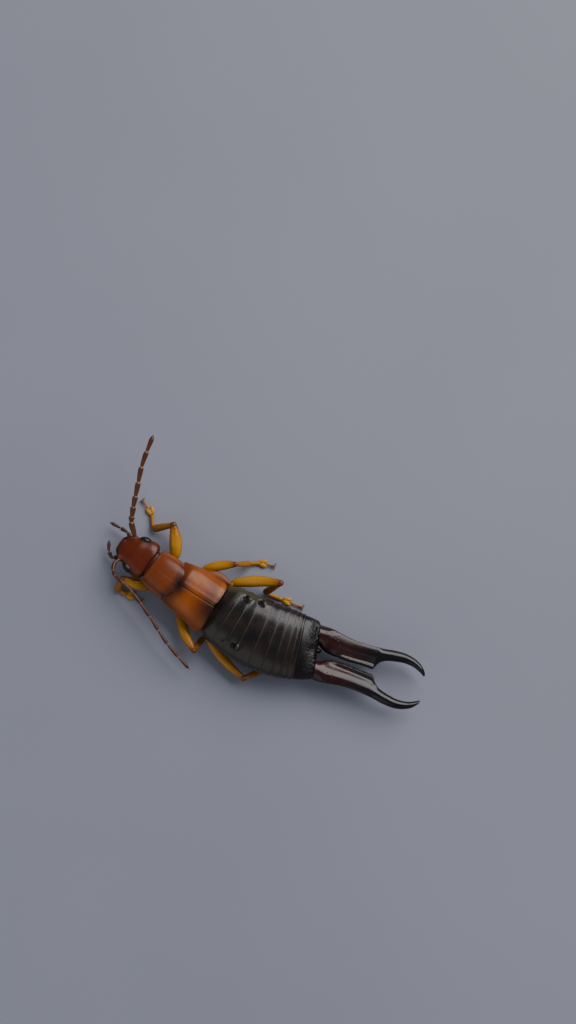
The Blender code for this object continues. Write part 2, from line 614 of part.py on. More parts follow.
def make_pincer(name, side, root, reach):
    """Pincer arm: a bowed round blade with a flat toothed flange along its inner side."""
    spine = np.array(ARM_SPINE)
    stretch = (reach - root) / ARM_SPINE[-1][0]
    count = 26
    places = path_through(np.column_stack([spine, ARM_HALF_WIDTHS, ARM_HALF_HEIGHTS]), count)
    run = root + places[:, 0] * stretch
    points = np.stack([-run, places[:, 1] * side, -PINCER_DROP * run], axis=1)
    wide, high = places[:, 2].copy(), places[:, 3].copy()
    wide[0], high[0] = wide[0] * 0.7, high[0] * 0.7
    arm = tube(name, points, wide, high, sides=10)
    steps = TEETH * 4 + 1
    t = np.linspace(0.0, 1.0, steps)
    start = root + 0.10
    end = FLANGE_END + (reach - ARMS["right"]["reach"]) * 0.9
    inner = FLANGE_INNER + 0.30 * (1 - t) ** 6 + 0.05 * t**6
    inner = inner - TOOTH_DEPTH / 2 * np.abs(np.sin(t * math.pi * TEETH)) + 0.02
    hollow = np.linspace(0.0, math.pi / 2, 6)[1:]
    flange_run = np.concatenate([start + t * (end - start), end + 0.55 * (1 - np.cos(hollow)) + 0.02])
    inner = np.concatenate([inner, inner[-1] + 0.92 * np.sin(hollow)])
    outer = np.interp(flange_run, root + spine[:, 0] * stretch, spine[:, 1]) + 0.05
    rings = []
    for x, near, far in zip(flange_run, inner, outer):
        lift = -PINCER_DROP * x - 0.06
        half = FLANGE_THICK / 2
        rings.append([(-x, far * side, lift + half), (-x, (near + 0.12) * side, lift + half),
                      (-x, near * side, lift + half * 0.5), (-x, near * side, lift - half * 0.5),
                      (-x, (near + 0.12) * side, lift - half), (-x, far * side, lift - half)])
    flange = loft("flange", rings)
    combine(arm, [flange], "UNION")
    return finish(place_pincer(arm), name, COLORS["pincer"], 0.2)


def make_leg(name, root, hip, knee, ankle, toes, bow, femur, tibia):
    """Leg: hip piece, thigh, shin, three foot joints with a two-lobed middle one, and claws."""
    low = [np.array((x, y, SOLE_HEIGHT + 0.02)) for x, y in toes]
    root, hip, knee = np.array(root), np.array(hip), np.array(knee)
    foot_start = (ankle[0], ankle[1], SOLE_HEIGHT + 0.08)
    body = spindle(name, hip, knee, femur, belly=0.42, waist=0.64, rings=7, bow=bow)
    pieces = [spindle("hip", root, hip + (knee - hip) * 0.08, HIP_THICK, waist=0.9, rings=5),
              spindle("shin", knee, ankle, tibia, belly=0.6, waist=0.88, rings=5),
              spindle("foot_a", foot_start, low[0], TARSUS_THICK, belly=0.6, waist=0.92, rings=5)]
    ahead = (low[2] - low[1]) / np.linalg.norm(low[2] - low[1])
    heading = math.degrees(math.atan2(low[1][1] - low[0][1], low[1][0] - low[0][0]))
    across = np.array((-math.sin(math.radians(heading)), math.cos(math.radians(heading)), 0.0))
    for side in (1, -1):
        lobe = (low[0] + low[1]) / 2 + across * side * LOBE_APART
        pieces.append(ball("foot_b", lobe, LOBE_SIZE, heading + LOBE_SPLAY * side, segments=8, rings=6))
    pieces.append(spindle("foot_c", low[1] - ahead * 0.22, low[2], TARSUS_THICK * 0.94, belly=0.7,
                          waist=0.9, rings=5, sides=6))
    beside = np.array((-ahead[1], ahead[0], 0.0))
    for side in (1, -1):
        start = low[2] - ahead * 0.10
        tip = start + ahead * CLAW_AHEAD + beside * side * CLAW_ASIDE - (0.0, 0.0, CLAW_DROP)
        claw = np.array([start, start + (tip - start) * 0.5 + ahead * 0.06, tip])
        pieces.append(tube("claw", claw, (0.13, 0.10, 0.05), (0.12, 0.09, 0.05), sides=5))
    combine(body, pieces, "UNION")
    combine(body, [box("floor", (-20, -20, -2), (20, 20, 0))], "DIFFERENCE")
    return finish(body, name, COLORS["leg"], 0.35)


def build():
    """Make every part and hang it on one empty at the animal's middle."""
    clear_scene()
    root = bpy.data.objects.new("earwig", None)
    root.location = (MIDDLE[0] * MM, MIDDLE[1] * MM, 0.0)
    bpy.context.scene.collection.objects.link(root)
    make_head()
    make_eye(1, "eye_left")
    make_eye(-1, "eye_right")
    feelers = (("antenna_left", ANTENNA_LEFT, ANTENNA_JOINTS_LEFT, ANTENNA_THICK),
               ("antenna_right", ANTENNA_RIGHT, ANTENNA_JOINTS_RIGHT, ANTENNA_THICK),
               ("palp_left", PALP_LEFT, PALP_JOINTS, PALP_THICK),
               ("palp_right", PALP_RIGHT, PALP_JOINTS, PALP_THICK))
    for name, points, joints, thick in feelers:
        finish(beaded_feeler(name, points, joints, thick), name, COLORS["feeler"], 0.35)
    make_pronotum()
    make_wing_case(1, "left")
    make_wing_case(-1, "right")
    make_thorax()
    make_abdomen()
    make_tail_plate()
    for name, sizes in ARMS.items():
        make_pincer("pincer_" + name, **sizes)
    for name, places in LEGS.items():
        make_leg("leg_" + name, **places)


build()
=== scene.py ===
import math

import bpy
import numpy as np
from mathutils import Matrix, Vector


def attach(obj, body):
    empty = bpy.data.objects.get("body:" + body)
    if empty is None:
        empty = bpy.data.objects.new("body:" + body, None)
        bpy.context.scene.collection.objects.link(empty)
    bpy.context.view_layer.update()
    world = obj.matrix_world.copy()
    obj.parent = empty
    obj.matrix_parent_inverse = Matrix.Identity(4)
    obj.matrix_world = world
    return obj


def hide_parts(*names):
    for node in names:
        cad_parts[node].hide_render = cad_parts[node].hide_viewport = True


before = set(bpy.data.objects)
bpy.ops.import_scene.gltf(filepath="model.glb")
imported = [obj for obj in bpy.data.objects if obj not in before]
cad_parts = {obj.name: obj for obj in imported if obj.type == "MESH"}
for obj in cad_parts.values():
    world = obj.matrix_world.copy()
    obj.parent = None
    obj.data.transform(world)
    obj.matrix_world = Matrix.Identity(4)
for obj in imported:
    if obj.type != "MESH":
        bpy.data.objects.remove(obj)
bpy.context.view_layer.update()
print("frame loaded:", len(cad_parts), "nodes")

# Every size below is in millimetres in the animal's own frame: X to the head, Y to its left, Z up.
# The middle of its footprint is moved onto the origin when a mesh is made.
unit = 0.001
middle = np.array([0.15, 0.91, 0.0])
rng = np.random.default_rng(7)


def ramp(low, high, x):
    # 0 at low, 1 at high, and 3t^2 - 2t^3 in between
    t = np.clip((np.asarray(x, float) - low) / (high - low), 0.0, 1.0)
    return t * t * (3 - 2 * t)


def bell(x, at, wide):
    # e to the minus square of the distance from at, counted in widths
    return np.exp(-((np.asarray(x, float) - at) / wide) ** 2)


def quarterRound(x, least=0.0):
    # quarter circle, the root of 1 - x^2: 1 at 0 and nothing, or the root of least, at 1
    return np.sqrt(np.clip(1 - np.clip(x, 0, 1) ** 2, least, 1))


def easedShares(count):
    # 0 to 1 as a half wave of a sine, closer together at both ends
    return np.sin(np.linspace(-math.pi / 2, math.pi / 2, count)) * 0.5 + 0.5


def signPower(x, power):
    # power of the size, with the sign kept
    return np.sign(x) * np.abs(x) ** power


def turns(count):
    # angles of one whole turn, the last one left out
    return np.linspace(0, 2 * math.pi, count, endpoint=False)


def lengthOne(vectors):
    return vectors / np.linalg.norm(vectors, axis=-1, keepdims=True)


def curveThrough(knots, values, wanted):
    # Hermite curve through values at knots, each slope taken from the two neighbours
    knots, values, wanted = (np.asarray(a, float) for a in (knots, values, wanted))
    slopes = np.gradient(values, knots, axis=0)
    at = np.clip(np.searchsorted(knots, wanted) - 1, 0, len(knots) - 2)
    span = knots[at + 1] - knots[at]
    t = (wanted - knots[at]) / span
    if values.ndim > 1:
        t, span = t[:, None], span[:, None]
    return ((2 * t**3 - 3 * t**2 + 1) * values[at] + (t**3 - 2 * t**2 + t) * span * slopes[at]
            + (3 * t**2 - 2 * t**3) * values[at + 1] + (t**3 - t**2) * span * slopes[at + 1])


def runLength(points):
    # distance run up to each point
    steps = np.linalg.norm(np.diff(points, axis=0), axis=1)
    return np.concatenate([[0.0], np.cumsum(steps)])


def pathAt(points, wanted):
    # place on the smooth curve through a few points, at shares 0 to 1 of its length
    points = np.asarray(points, float)
    along = runLength(points)
    fine = curveThrough(along, points, np.linspace(0, along[-1], 400))
    run = runLength(fine)
    wanted = np.asarray(wanted) * run[-1]
    return np.stack([np.interp(wanted, run, fine[:, k]) for k in range(3)], axis=1)


def turnPlan(points, heading, at=(0.0, 0.0, 0.0)):
    # turn about Z by a heading in degrees, then move
    c, s = math.cos(math.radians(heading)), math.sin(math.radians(heading))
    turn = np.array([[c, -s, 0.0], [s, c, 0.0], [0.0, 0.0, 1.0]])
    return points @ turn.T + np.asarray(at, float)


def lumps(u, v, pitch, count=14):
    # uneven ripple: a sum of sines that run in random directions, about a pitch apart
    ways = rng.uniform(0, 2 * math.pi, count)
    rates = rng.uniform(0.6, 1.5, count) * 2 * math.pi / pitch
    shifts = rng.uniform(0, 2 * math.pi, count)
    waves = [np.sin((u * np.cos(a) + v * np.sin(a)) * k + h)
             for a, k, h in zip(ways, rates, shifts)]
    return np.sum(waves, axis=0) / math.sqrt(count)


def lineDistance(points, line):
    # distance in plan from every point to the nearest stretch of a bent line
    flat = points[..., :2]
    best = np.full(flat.shape[:-1], 1e9)
    line = np.asarray(line, float)
    for a, b in zip(line, line[1:]):
        run = b - a
        t = np.clip(((flat - a) @ run) / (run @ run), 0.0, 1.0)
        best = np.minimum(best, np.linalg.norm(flat - a - t[..., None] * run, axis=-1))
    return best


def gridNormals(grid):
    # cross product of the steps along and round the grid, turned to point away from its middle
    around = (np.roll(grid, -1, 1) - np.roll(grid, 1, 1)) / 2
    normal = np.cross(np.gradient(grid, axis=0), around)
    normal /= np.linalg.norm(normal, axis=2, keepdims=True) + 1e-12  # no division by 0 at a pole
    outward = np.sum(normal * (grid - grid.mean(axis=1, keepdims=True)), axis=2).sum()
    return normal * (1.0 if outward > 0 else -1.0)


def pushed(grid, amount):
    # every point moved along its own normal by an amount in millimetres
    return grid + gridNormals(grid) * amount[..., None]


def ovalRing(halfWidth, up, down, power, count):
    # superellipse in the YZ plane: taller above its seam than below it
    side, rise = np.cos(turns(count)), np.sin(turns(count))
    y = halfWidth * signPower(side, 2 / power)
    z = np.where(rise > 0, up, down) * signPower(rise, 2 / power)
    return np.stack([np.zeros(count), y, z], axis=1)


def tubeGrid(path, wide, high, sides=24, power=2.0):
    # round or squarish section carried along a path, its width kept level
    path = np.asarray(path, float)
    head = lengthOne(np.gradient(path, axis=0))
    level = lengthOne(np.cross((0.0, 0.0, 1.0), head))
    rise = np.cross(head, level)
    c, s = (signPower(wave(turns(sides)), 2 / power)[None, :, None] for wave in (np.cos, np.sin))
    wide, high = np.asarray(wide)[:, None, None], np.asarray(high)[:, None, None]
    return path[:, None, :] + level[:, None, :] * c * wide + rise[:, None, :] * s * high


def ballGrid(at, sizes, heading=0.0, rows=24, cols=32):
    # ellipsoid with its poles on X: cos t along it, sin t cos a and sin t sin a across
    poleGap = 0.02
    t = np.linspace(poleGap, math.pi - poleGap, rows)[:, None]
    a = turns(cols)[None, :]
    grid = np.stack([np.cos(t) + 0 * a, np.sin(t) * np.cos(a), np.sin(t) * np.sin(a)], axis=-1)
    return turnPlan(grid * np.asarray(sizes), heading, at)


def ringShell(grid, **marks):
    # closed tube: rows along the piece, columns round it, and a fan at each end
    rows, cols = grid.shape[:2]
    ids = np.arange(rows * cols).reshape(rows, cols)
    after = np.roll(ids, -1, axis=1)
    quads = np.stack([ids[:-1], after[:-1], after[1:], ids[1:]], axis=-1).reshape(-1, 4)
    poles = grid[[0, -1]].mean(axis=1)
    first = np.stack([after[0], ids[0], np.full(cols, rows * cols)], axis=-1)
    last = np.stack([ids[-1], after[-1], np.full(cols, rows * cols + 1)], axis=-1)
    flat = {}
    for mark, value in marks.items():
        value = np.broadcast_to(value, (rows, cols))
        flat[mark] = np.concatenate([value.ravel(), value[[0, -1]].mean(axis=1)])
    verts = np.concatenate([grid.reshape(-1, 3), poles])
    return turnedOut(verts, quads, np.concatenate([first, last]), flat)


bristleSizes = {"sunk": 0.01, "half": 0.012}


def bristles(grid, count, long, lean, first=0.1, last=0.95, **marks):
    # thin three-sided spikes scattered over a tube, each leaning towards its far end
    rows, cols = grid.shape[:2]
    r = rng.integers(int(rows * first), int(rows * last), count)
    c = rng.integers(0, cols, count)
    out = gridNormals(grid)[r, c]
    ahead = lengthOne(np.gradient(grid, axis=0)[r, c])
    side = np.cross(out, ahead)
    foot = grid[r, c] - out * bristleSizes["sunk"]
    tip = foot + (out * (1 - lean) + ahead * lean) * (long * rng.uniform(0.6, 1.2, count))[:, None]
    corners = [side, -0.5 * side + 0.87 * ahead, -0.5 * side - 0.87 * ahead]
    ring = [foot + corner * bristleSizes["half"] for corner in corners]
    verts = np.stack(ring + [tip], axis=1).reshape(-1, 3)
    start = np.arange(count)[:, None, None] * 4
    tris = (start + np.array([[0, 1, 2], [0, 3, 1], [1, 3, 2], [2, 3, 0]])).reshape(-1, 3)
    flat = {mark: np.full(len(verts), value) for mark, value in marks.items()}
    return turnedOut(verts, np.zeros((0, 4), int), tris, flat)


def plateShell(top, under, heading, at, **marks):
    # closed plate: two sheets of points that share their rim, turned and moved into place
    top, under = (turnPlan(sheet, heading, at) for sheet in (top, under))
    rows, cols = top.shape[:2]
    ids = np.arange(rows * cols).reshape(rows, cols)
    low = ids.copy()
    low[1:-1, 1:-1] = rows * cols + np.arange((rows - 2) * (cols - 2)).reshape(rows - 2, cols - 2)
    upper = np.stack([ids[:-1, :-1], ids[1:, :-1], ids[1:, 1:], ids[:-1, 1:]], axis=-1)
    lower = np.stack([low[:-1, :-1], low[:-1, 1:], low[1:, 1:], low[1:, :-1]], axis=-1)
    quads = np.concatenate([upper, lower]).reshape(-1, 4)
    verts = np.concatenate([top.reshape(-1, 3), under[1:-1, 1:-1].reshape(-1, 3)])
    flat = {}
    for mark, value in marks.items():
        value = np.broadcast_to(value, (rows, cols))
        flat[mark] = np.concatenate([value.ravel(), value[1:-1, 1:-1].ravel()])
    return turnedOut(verts, quads, np.zeros((0, 3), int), flat)


def turnedOut(verts, quads, tris, marks):
    # turn the faces round if the volume they enclose comes out negative
    fans = np.concatenate([quads[:, [0, 1, 2]], quads[:, [0, 2, 3]], tris])
    a, b, c = (verts[fans[:, k]] for k in range(3))
    if np.einsum("ij,ij->i", a, np.cross(b, c)).sum() < 0:
        quads, tris = quads[:, ::-1], tris[:, ::-1]
    return {"verts": verts, "quads": quads, "tris": tris, "marks": marks}


def inScene(name, data):
    thing = bpy.data.objects.new(name, data)
    bpy.context.scene.collection.objects.link(thing)
    return thing


markNames = ("dark", "pale", "red", "rough")


def makePiece(name, shells, nodes, look):
    # join closed shells into one object that stands for its CAD nodes
    verts, quads, tris, start = [], [], [], 0
    marks = {mark: [] for mark in markNames}
    for shell in shells:
        count = len(shell["verts"])
        verts.append(shell["verts"])
        quads.append(shell["quads"] + start)
        tris.append(shell["tris"] + start)
        for mark in markNames:
            marks[mark].append(shell["marks"].get(mark, np.zeros(count)))
        start += count
    places = (np.concatenate(verts) + middle) * unit
    places[:, 2] = np.maximum(places[:, 2], 0.0)
    faces = np.concatenate(quads).tolist() + np.concatenate(tris).tolist()
    mesh = bpy.data.meshes.new(name)
    mesh.from_pydata(places.tolist(), [], faces)
    for mark in markNames:
        layer = mesh.attributes.new(mark, "FLOAT", "POINT")
        values = np.clip(np.concatenate(marks[mark]), 0, 1)
        layer.data.foreach_set("value", values.astype(np.float32))
    mesh.shade_smooth()
    mesh.update()
    mesh.materials.append(materials[look])
    piece = inScene(name, mesh)
    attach(piece, "root")
    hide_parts(*nodes)
    print("  ", name, len(faces), "faces")


def newGroup(name, inputs, outputs):
    # empty shader group with named sockets
    group = bpy.data.node_groups.new(name, "ShaderNodeTree")
    for way, sockets in (("INPUT", inputs), ("OUTPUT", outputs)):
        for label, kind in sockets.items():
            group.interface.new_socket(label, in_out=way, socket_type=kind)
    return group, group.nodes.new("NodeGroupInput"), group.nodes.new("NodeGroupOutput")


def feed(tree, node, values):
    # give each named input its value, or a link where the value is a socket
    for socket, value in values.items():
        if isinstance(value, bpy.types.NodeSocket):
            tree.links.new(value, node.inputs[socket])
        else:
            node.inputs[socket].default_value = value


def addNode(tree, kind, inputs=None, **settings):
    # new node with its settings and its inputs
    node = tree.nodes.new(kind)
    for key, value in settings.items():
        setattr(node, key, value)
    feed(tree, node, inputs or {})
    return node


def mathNode(tree, operation, a, b):
    return addNode(tree, "ShaderNodeMath", {0: a, 1: b}, operation=operation).outputs[0]


def mixColor(tree, share, a, b):
    node = addNode(tree, "ShaderNodeMix", data_type="RGBA", clamp_factor=True)
    feed(tree, node, {0: share, 6: a, 7: b})  # its colour sockets go by number
    return node.outputs[2]


def mapRange(tree, value, low, high, outLow=0.0, outHigh=1.0):
    inputs = {"Value": value, "From Min": low, "From Max": high,
              "To Min": outLow, "To Max": outHigh}
    return addNode(tree, "ShaderNodeMapRange", inputs, interpolation_type="SMOOTHSTEP").outputs[0]


def noise(tree, place, scale, detail, **more):
    inputs = {"Vector": place, "Scale": scale, "Detail": detail, **more}
    return addNode(tree, "ShaderNodeTexNoise", inputs).outputs[0]


def cellDistance(tree, place, scale):
    # distance to the middle of the nearest cell
    cells = addNode(tree, "ShaderNodeTexVoronoi", {"Vector": place, "Scale": scale})
    return cells.outputs["Distance"]


def bumpNode(tree, height, strength, distance):
    inputs = {"Height": height, "Strength": strength, "Distance": distance}
    return addNode(tree, "ShaderNodeBump", inputs).outputs[0]


def newMaterial(name):
    # a material, its tree, its shader and the object's own coordinates
    material = bpy.data.materials.new(name)
    material.use_nodes = True
    tree = material.node_tree
    place = tree.nodes.new("ShaderNodeTexCoord").outputs["Object"]
    return material, tree, tree.nodes["Principled BSDF"], place


grainSizes = {
    "spreadScale": 1600.0, "foldScale": 4200.0, "mottleScale": 900.0, "grainHeight": 0.25,
    "foldHeight": 3.0
}


def chitinGrainGroup():
    # fine grain, round pits and long wrinkles of insect shell, and a mottle for its colour
    g, number = grainSizes, "NodeSocketFloat"
    inputs = {"Vector": "NodeSocketVector"}
    inputs.update(dict.fromkeys(("Grain Scale", "Pit Scale", "Pits", "Wrinkles"), number))
    group, start, end = newGroup("chitinGrain", inputs, {"Height": number, "Mottle": number})

    def times(a, b):
        return mathNode(group, "MULTIPLY", a, b)

    place = start.outputs["Vector"]
    grain = noise(group, place, start.outputs["Grain Scale"], 4.0, Roughness=0.6)
    pit = mapRange(group, cellDistance(group, place, start.outputs["Pit Scale"]), 0.3, 0.05)
    # pits only in some areas
    pit = times(pit, mapRange(group, noise(group, place, g["spreadScale"], 2.0), 0.38, 0.62))
    folds = noise(group, place, g["foldScale"], 3.0, Distortion=1.4)
    folds = times(folds, start.outputs["Wrinkles"])
    depth = times(pit, start.outputs["Pits"])
    height = mathNode(group, "SUBTRACT", times(grain, g["grainHeight"]), depth)
    height = mathNode(group, "ADD", height, times(folds, g["foldHeight"]))
    mottle = mapRange(group, noise(group, place, g["mottleScale"], 5.0, Roughness=0.65), 0.35, 0.68)
    feed(group, end, {"Height": height, "Mottle": mottle})
    return group


chitinGrain = chitinGrainGroup()


def rgba(color):
    return (*color, 1.0)


def chitinMaterial(name, look):
    # glossy shell: a base colour, a deeper one in mottles, then red, dark and pale by mark; on some
    # pieces dark and pale also carry painted shade and painted highlights
    material, tree, shader, place = newMaterial(name)
    mark = {m: addNode(tree, "ShaderNodeAttribute", attribute_name=m).outputs["Fac"]
            for m in markNames}
    grain = addNode(tree, "ShaderNodeGroup", node_tree=chitinGrain)
    wrinkles = mathNode(tree, "MULTIPLY", mark["rough"], look["wrinkles"])
    feed(tree, grain, {"Vector": place, "Grain Scale": look["grainScale"],
                       "Pit Scale": look["pitScale"], "Pits": look["pits"],
                       "Wrinkles": wrinkles})
    mottle = grain.outputs["Mottle"]
    share = mathNode(tree, "MULTIPLY", mottle, look["mottle"])
    color = mixColor(tree, share, rgba(look["base"]), rgba(look["deep"]))
    for m in ("red", "dark", "pale"):
        color = mixColor(tree, mark[m], color, rgba(look[m]))
    rough = mapRange(tree, mottle, 0.0, 1.0, look["rough"] - 0.04, look["rough"] + 0.06)
    more = mathNode(tree, "MULTIPLY", mark["rough"], look["roughMore"])
    rough = mathNode(tree, "ADD", rough, more)
    feed(tree, shader, {"Base Color": color, "Roughness": rough, "IOR": 1.5,
                        "Normal": bumpNode(tree, grain.outputs["Height"], look["bump"], 0.00002),
                        "Specular IOR Level": look["specular"],
                        "Subsurface Weight": look["through"],
                        "Subsurface Radius": (1.0, 0.45, 0.12), "Subsurface Scale": 0.0004})
    return material


# used where a look below says nothing else
plainShell = {
    "red": (0.12, 0.01, 0.008), "mottle": 0.6, "grainScale": 9000.0, "pitScale": 9000.0,
    "pits": 0.2, "wrinkles": 0.0, "roughMore": 0.25, "bump": 0.35, "specular": 0.5,
    "through": 0.05
}
looks = {
    "head": dict(
        base=(0.125, 0.019, 0.004), deep=(0.085, 0.012, 0.003), dark=(0.018, 0.004, 0.003),
        pale=(0.4, 0.17, 0.07), rough=0.27, specular=0.38, pits=0.12, bump=0.25),
    "pronotum": dict(
        base=(0.2, 0.04, 0.004), deep=(0.145, 0.026, 0.003), dark=(0.038, 0.009, 0.004),
        pale=(0.42, 0.16, 0.04), rough=0.36, specular=0.4, pits=0.15, through=0.15),
    # the pale of the wing cases is painted in as highlights on them, and as a thin line along their
    # outer rim
    "wing": dict(
        base=(0.31, 0.07, 0.004), deep=(0.2, 0.04, 0.003), dark=(0.022, 0.006, 0.004),
        pale=(0.66, 0.23, 0.035), rough=0.31, specular=0.33, pits=0.22, grainScale=6000.0,
        bump=0.45, through=0.12),
    "trunk": dict(
        base=(0.24, 0.062, 0.005), deep=(0.16, 0.036, 0.005), dark=(0.038, 0.011, 0.005),
        pale=(0.5, 0.3, 0.1), rough=0.42, specular=0.4, through=0.15),
    "abdomen": dict(
        base=(0.006, 0.005, 0.006), deep=(0.02, 0.008, 0.007), dark=(0.003, 0.003, 0.004),
        pale=(0.26, 0.2, 0.13), red=(0.05, 0.046, 0.021), rough=0.25, pits=0.35,
        pitScale=16000.0, wrinkles=1.0, bump=0.5, through=0.0, mottle=0.9),
    "tail": dict(
        base=(0.004, 0.003, 0.004), deep=(0.011, 0.005, 0.005), dark=(0.002, 0.002, 0.003),
        pale=(0.2, 0.15, 0.1), red=(0.03, 0.01, 0.01), rough=0.22, specular=0.42, pits=0.35,
        pitScale=16000.0, wrinkles=1.0, bump=0.6, roughMore=0.08, through=0.0, mottle=0.9),
    "pincer": dict(
        base=(0.024, 0.003, 0.003), deep=(0.013, 0.003, 0.003), dark=(0.003, 0.003, 0.004),
        red=(0.036, 0.003, 0.003), pale=(0.3, 0.12, 0.08), rough=0.19, specular=0.52,
        pits=0.5, pitScale=7000.0, bump=0.5, through=0.0),
    # the pale of the legs is the foot lobes' own colour and the painted glow down each thigh; dark
    # also paints shade along the edges of thighs and shins
    "leg": dict(
        base=(0.52, 0.225, 0.008), deep=(0.42, 0.165, 0.006), dark=(0.11, 0.03, 0.005),
        red=(0.27, 0.095, 0.007), pale=(0.66, 0.37, 0.03), rough=0.3, specular=0.4,
        pits=0.1, bump=0.3, through=0.35, mottle=0.5),
    "feeler": dict(
        base=(0.085, 0.024, 0.009), deep=(0.05, 0.014, 0.007), dark=(0.022, 0.008, 0.005),
        pale=(0.42, 0.25, 0.13), red=(0.16, 0.045, 0.015), rough=0.34, specular=0.4,
        through=0.1),
}
materials = {name: chitinMaterial("chitin_" + name, {**plainShell, **look})
             for name, look in looks.items()}


def eyeMaterial():
    # black bead with hundreds of tiny lenses
    material, tree, shader, place = newMaterial("compound_eye")
    lens = mapRange(tree, cellDistance(tree, place, 24000.0), 0.0, 0.6, 1.0, 0.0)
    tone = mixColor(tree, lens, rgba((0.004, 0.004, 0.005)), rgba((0.014, 0.013, 0.014)))
    bump = bumpNode(tree, lens, 0.3, 0.00001)
    feed(tree, shader, {"Base Color": tone, "Roughness": 0.34, "Normal": bump})
    return material


materials["eye"] = eyeMaterial()
print("materials made")

headSizes = {
    "at": (8.42, 0.3, 1.72), "turn": -9.5, "nod": 4.0, "length": 2.44, "behind": 0.22,
    "halfWidth": 1.42, "widestAt": 0.5, "top": 0.62, "bottom": 0.52, "notch": 0.04,
    "eyeAt": (1.07, 1.11, 0.12), "eyeSize": (0.44, 0.26, 0.36), "eyeTurn": 18,
    "socketAt": (1.78, 0.81, 0.16), "socketSize": (0.25, 0.25, 0.21),
    # height, then place and width along the head, and the same across it
    "eyeHollow": (-0.09, 1.1, 0.42, 1.36, 0.26),
    "swells": ((0.03, 0.3, 0.3, 0.85, 0.4), (0.05, 1.75, 0.2, 0.75, 0.22),
               (-0.015, 0.62, 0.24, 0.0, 0.5), (-0.03, 2.02, 0.06, 0.0, 0.62)),
    "crown": ((-0.1, 0.0), (1.02, 0.0)), "fork": ((1.02, 0.0), (1.34, 0.36), (1.52, 0.74)),
    "grooveWidth": 0.022, "grooveDepth": 0.007,
    "lips": (((2.2, 0.0, 0.1), (0.24, 0.46, 0.15)), ((2.33, 0.0, 0.02), (0.17, 0.36, 0.14))),
    "jaw": ((1.6, 0.66, -0.16), (2.1, 0.56, -0.18), (2.36, 0.3, -0.18), (2.46, 0.07, -0.18)),
    "jawShares": (0, 0.3, 0.6, 0.85, 1), "jawHalves": (0.16, 0.25, 0.22, 0.13, 0.03),
    "throat": (((1.45, 0.0, -0.36), (0.8, 0.5, 0.24)), ((1.98, 0.0, -0.34), (0.36, 0.34, 0.16))),
    "neck": ((-1.1, 0.02, 0.1), (-0.45, 0.0, 0.06), (0.25, 0.0, 0.02)), "neckHalf": (0.98, 0.5)
}


def onHead(points):
    # nod about Y, turn about Z and set on the neck
    nod = math.radians(headSizes["nod"])
    c, s = math.cos(nod), math.sin(nod)
    tilt = np.array([[c, 0.0, s], [0.0, 1.0, 0.0], [-s, 0.0, c]])
    return turnPlan(points @ tilt.T, headSizes["turn"], headSizes["at"])


def headCapsule():
    # half width is a power curve on each side of the widest place; the section is a superellipse
    h = headSizes
    x = -h["behind"] + 0.002 + easedShares(190) * (h["length"] + h["behind"] - 0.006)
    ahead = np.clip((x - h["widestAt"]) / (h["length"] - h["widestAt"]), 0, 1)
    behind = np.clip((h["widestAt"] - x) / (h["widestAt"] + h["behind"]), 0, 1)
    half = h["halfWidth"] * (1 - ahead**1.25) ** 0.45 * (1 - behind**4.5) ** 0.42
    fall = np.clip((x - 1.0) / (h["length"] - 1.0), 0, 1) ** 1.6
    swell = np.minimum(1.0, half / h["halfWidth"] * 1.15)
    rings = [ovalRing(w, h["top"] * s * (1 - 0.35 * f), h["bottom"] * s, 2.3, 220)
             for w, s, f in zip(half, swell, fall)]
    grid = np.stack(rings)
    rear = np.clip((0.7 - x) / 0.7, 0, 1)[:, None]
    grid[..., 0] = x[:, None] + h["notch"] * rear * bell(grid[..., 1], 0, 0.5)
    return grid


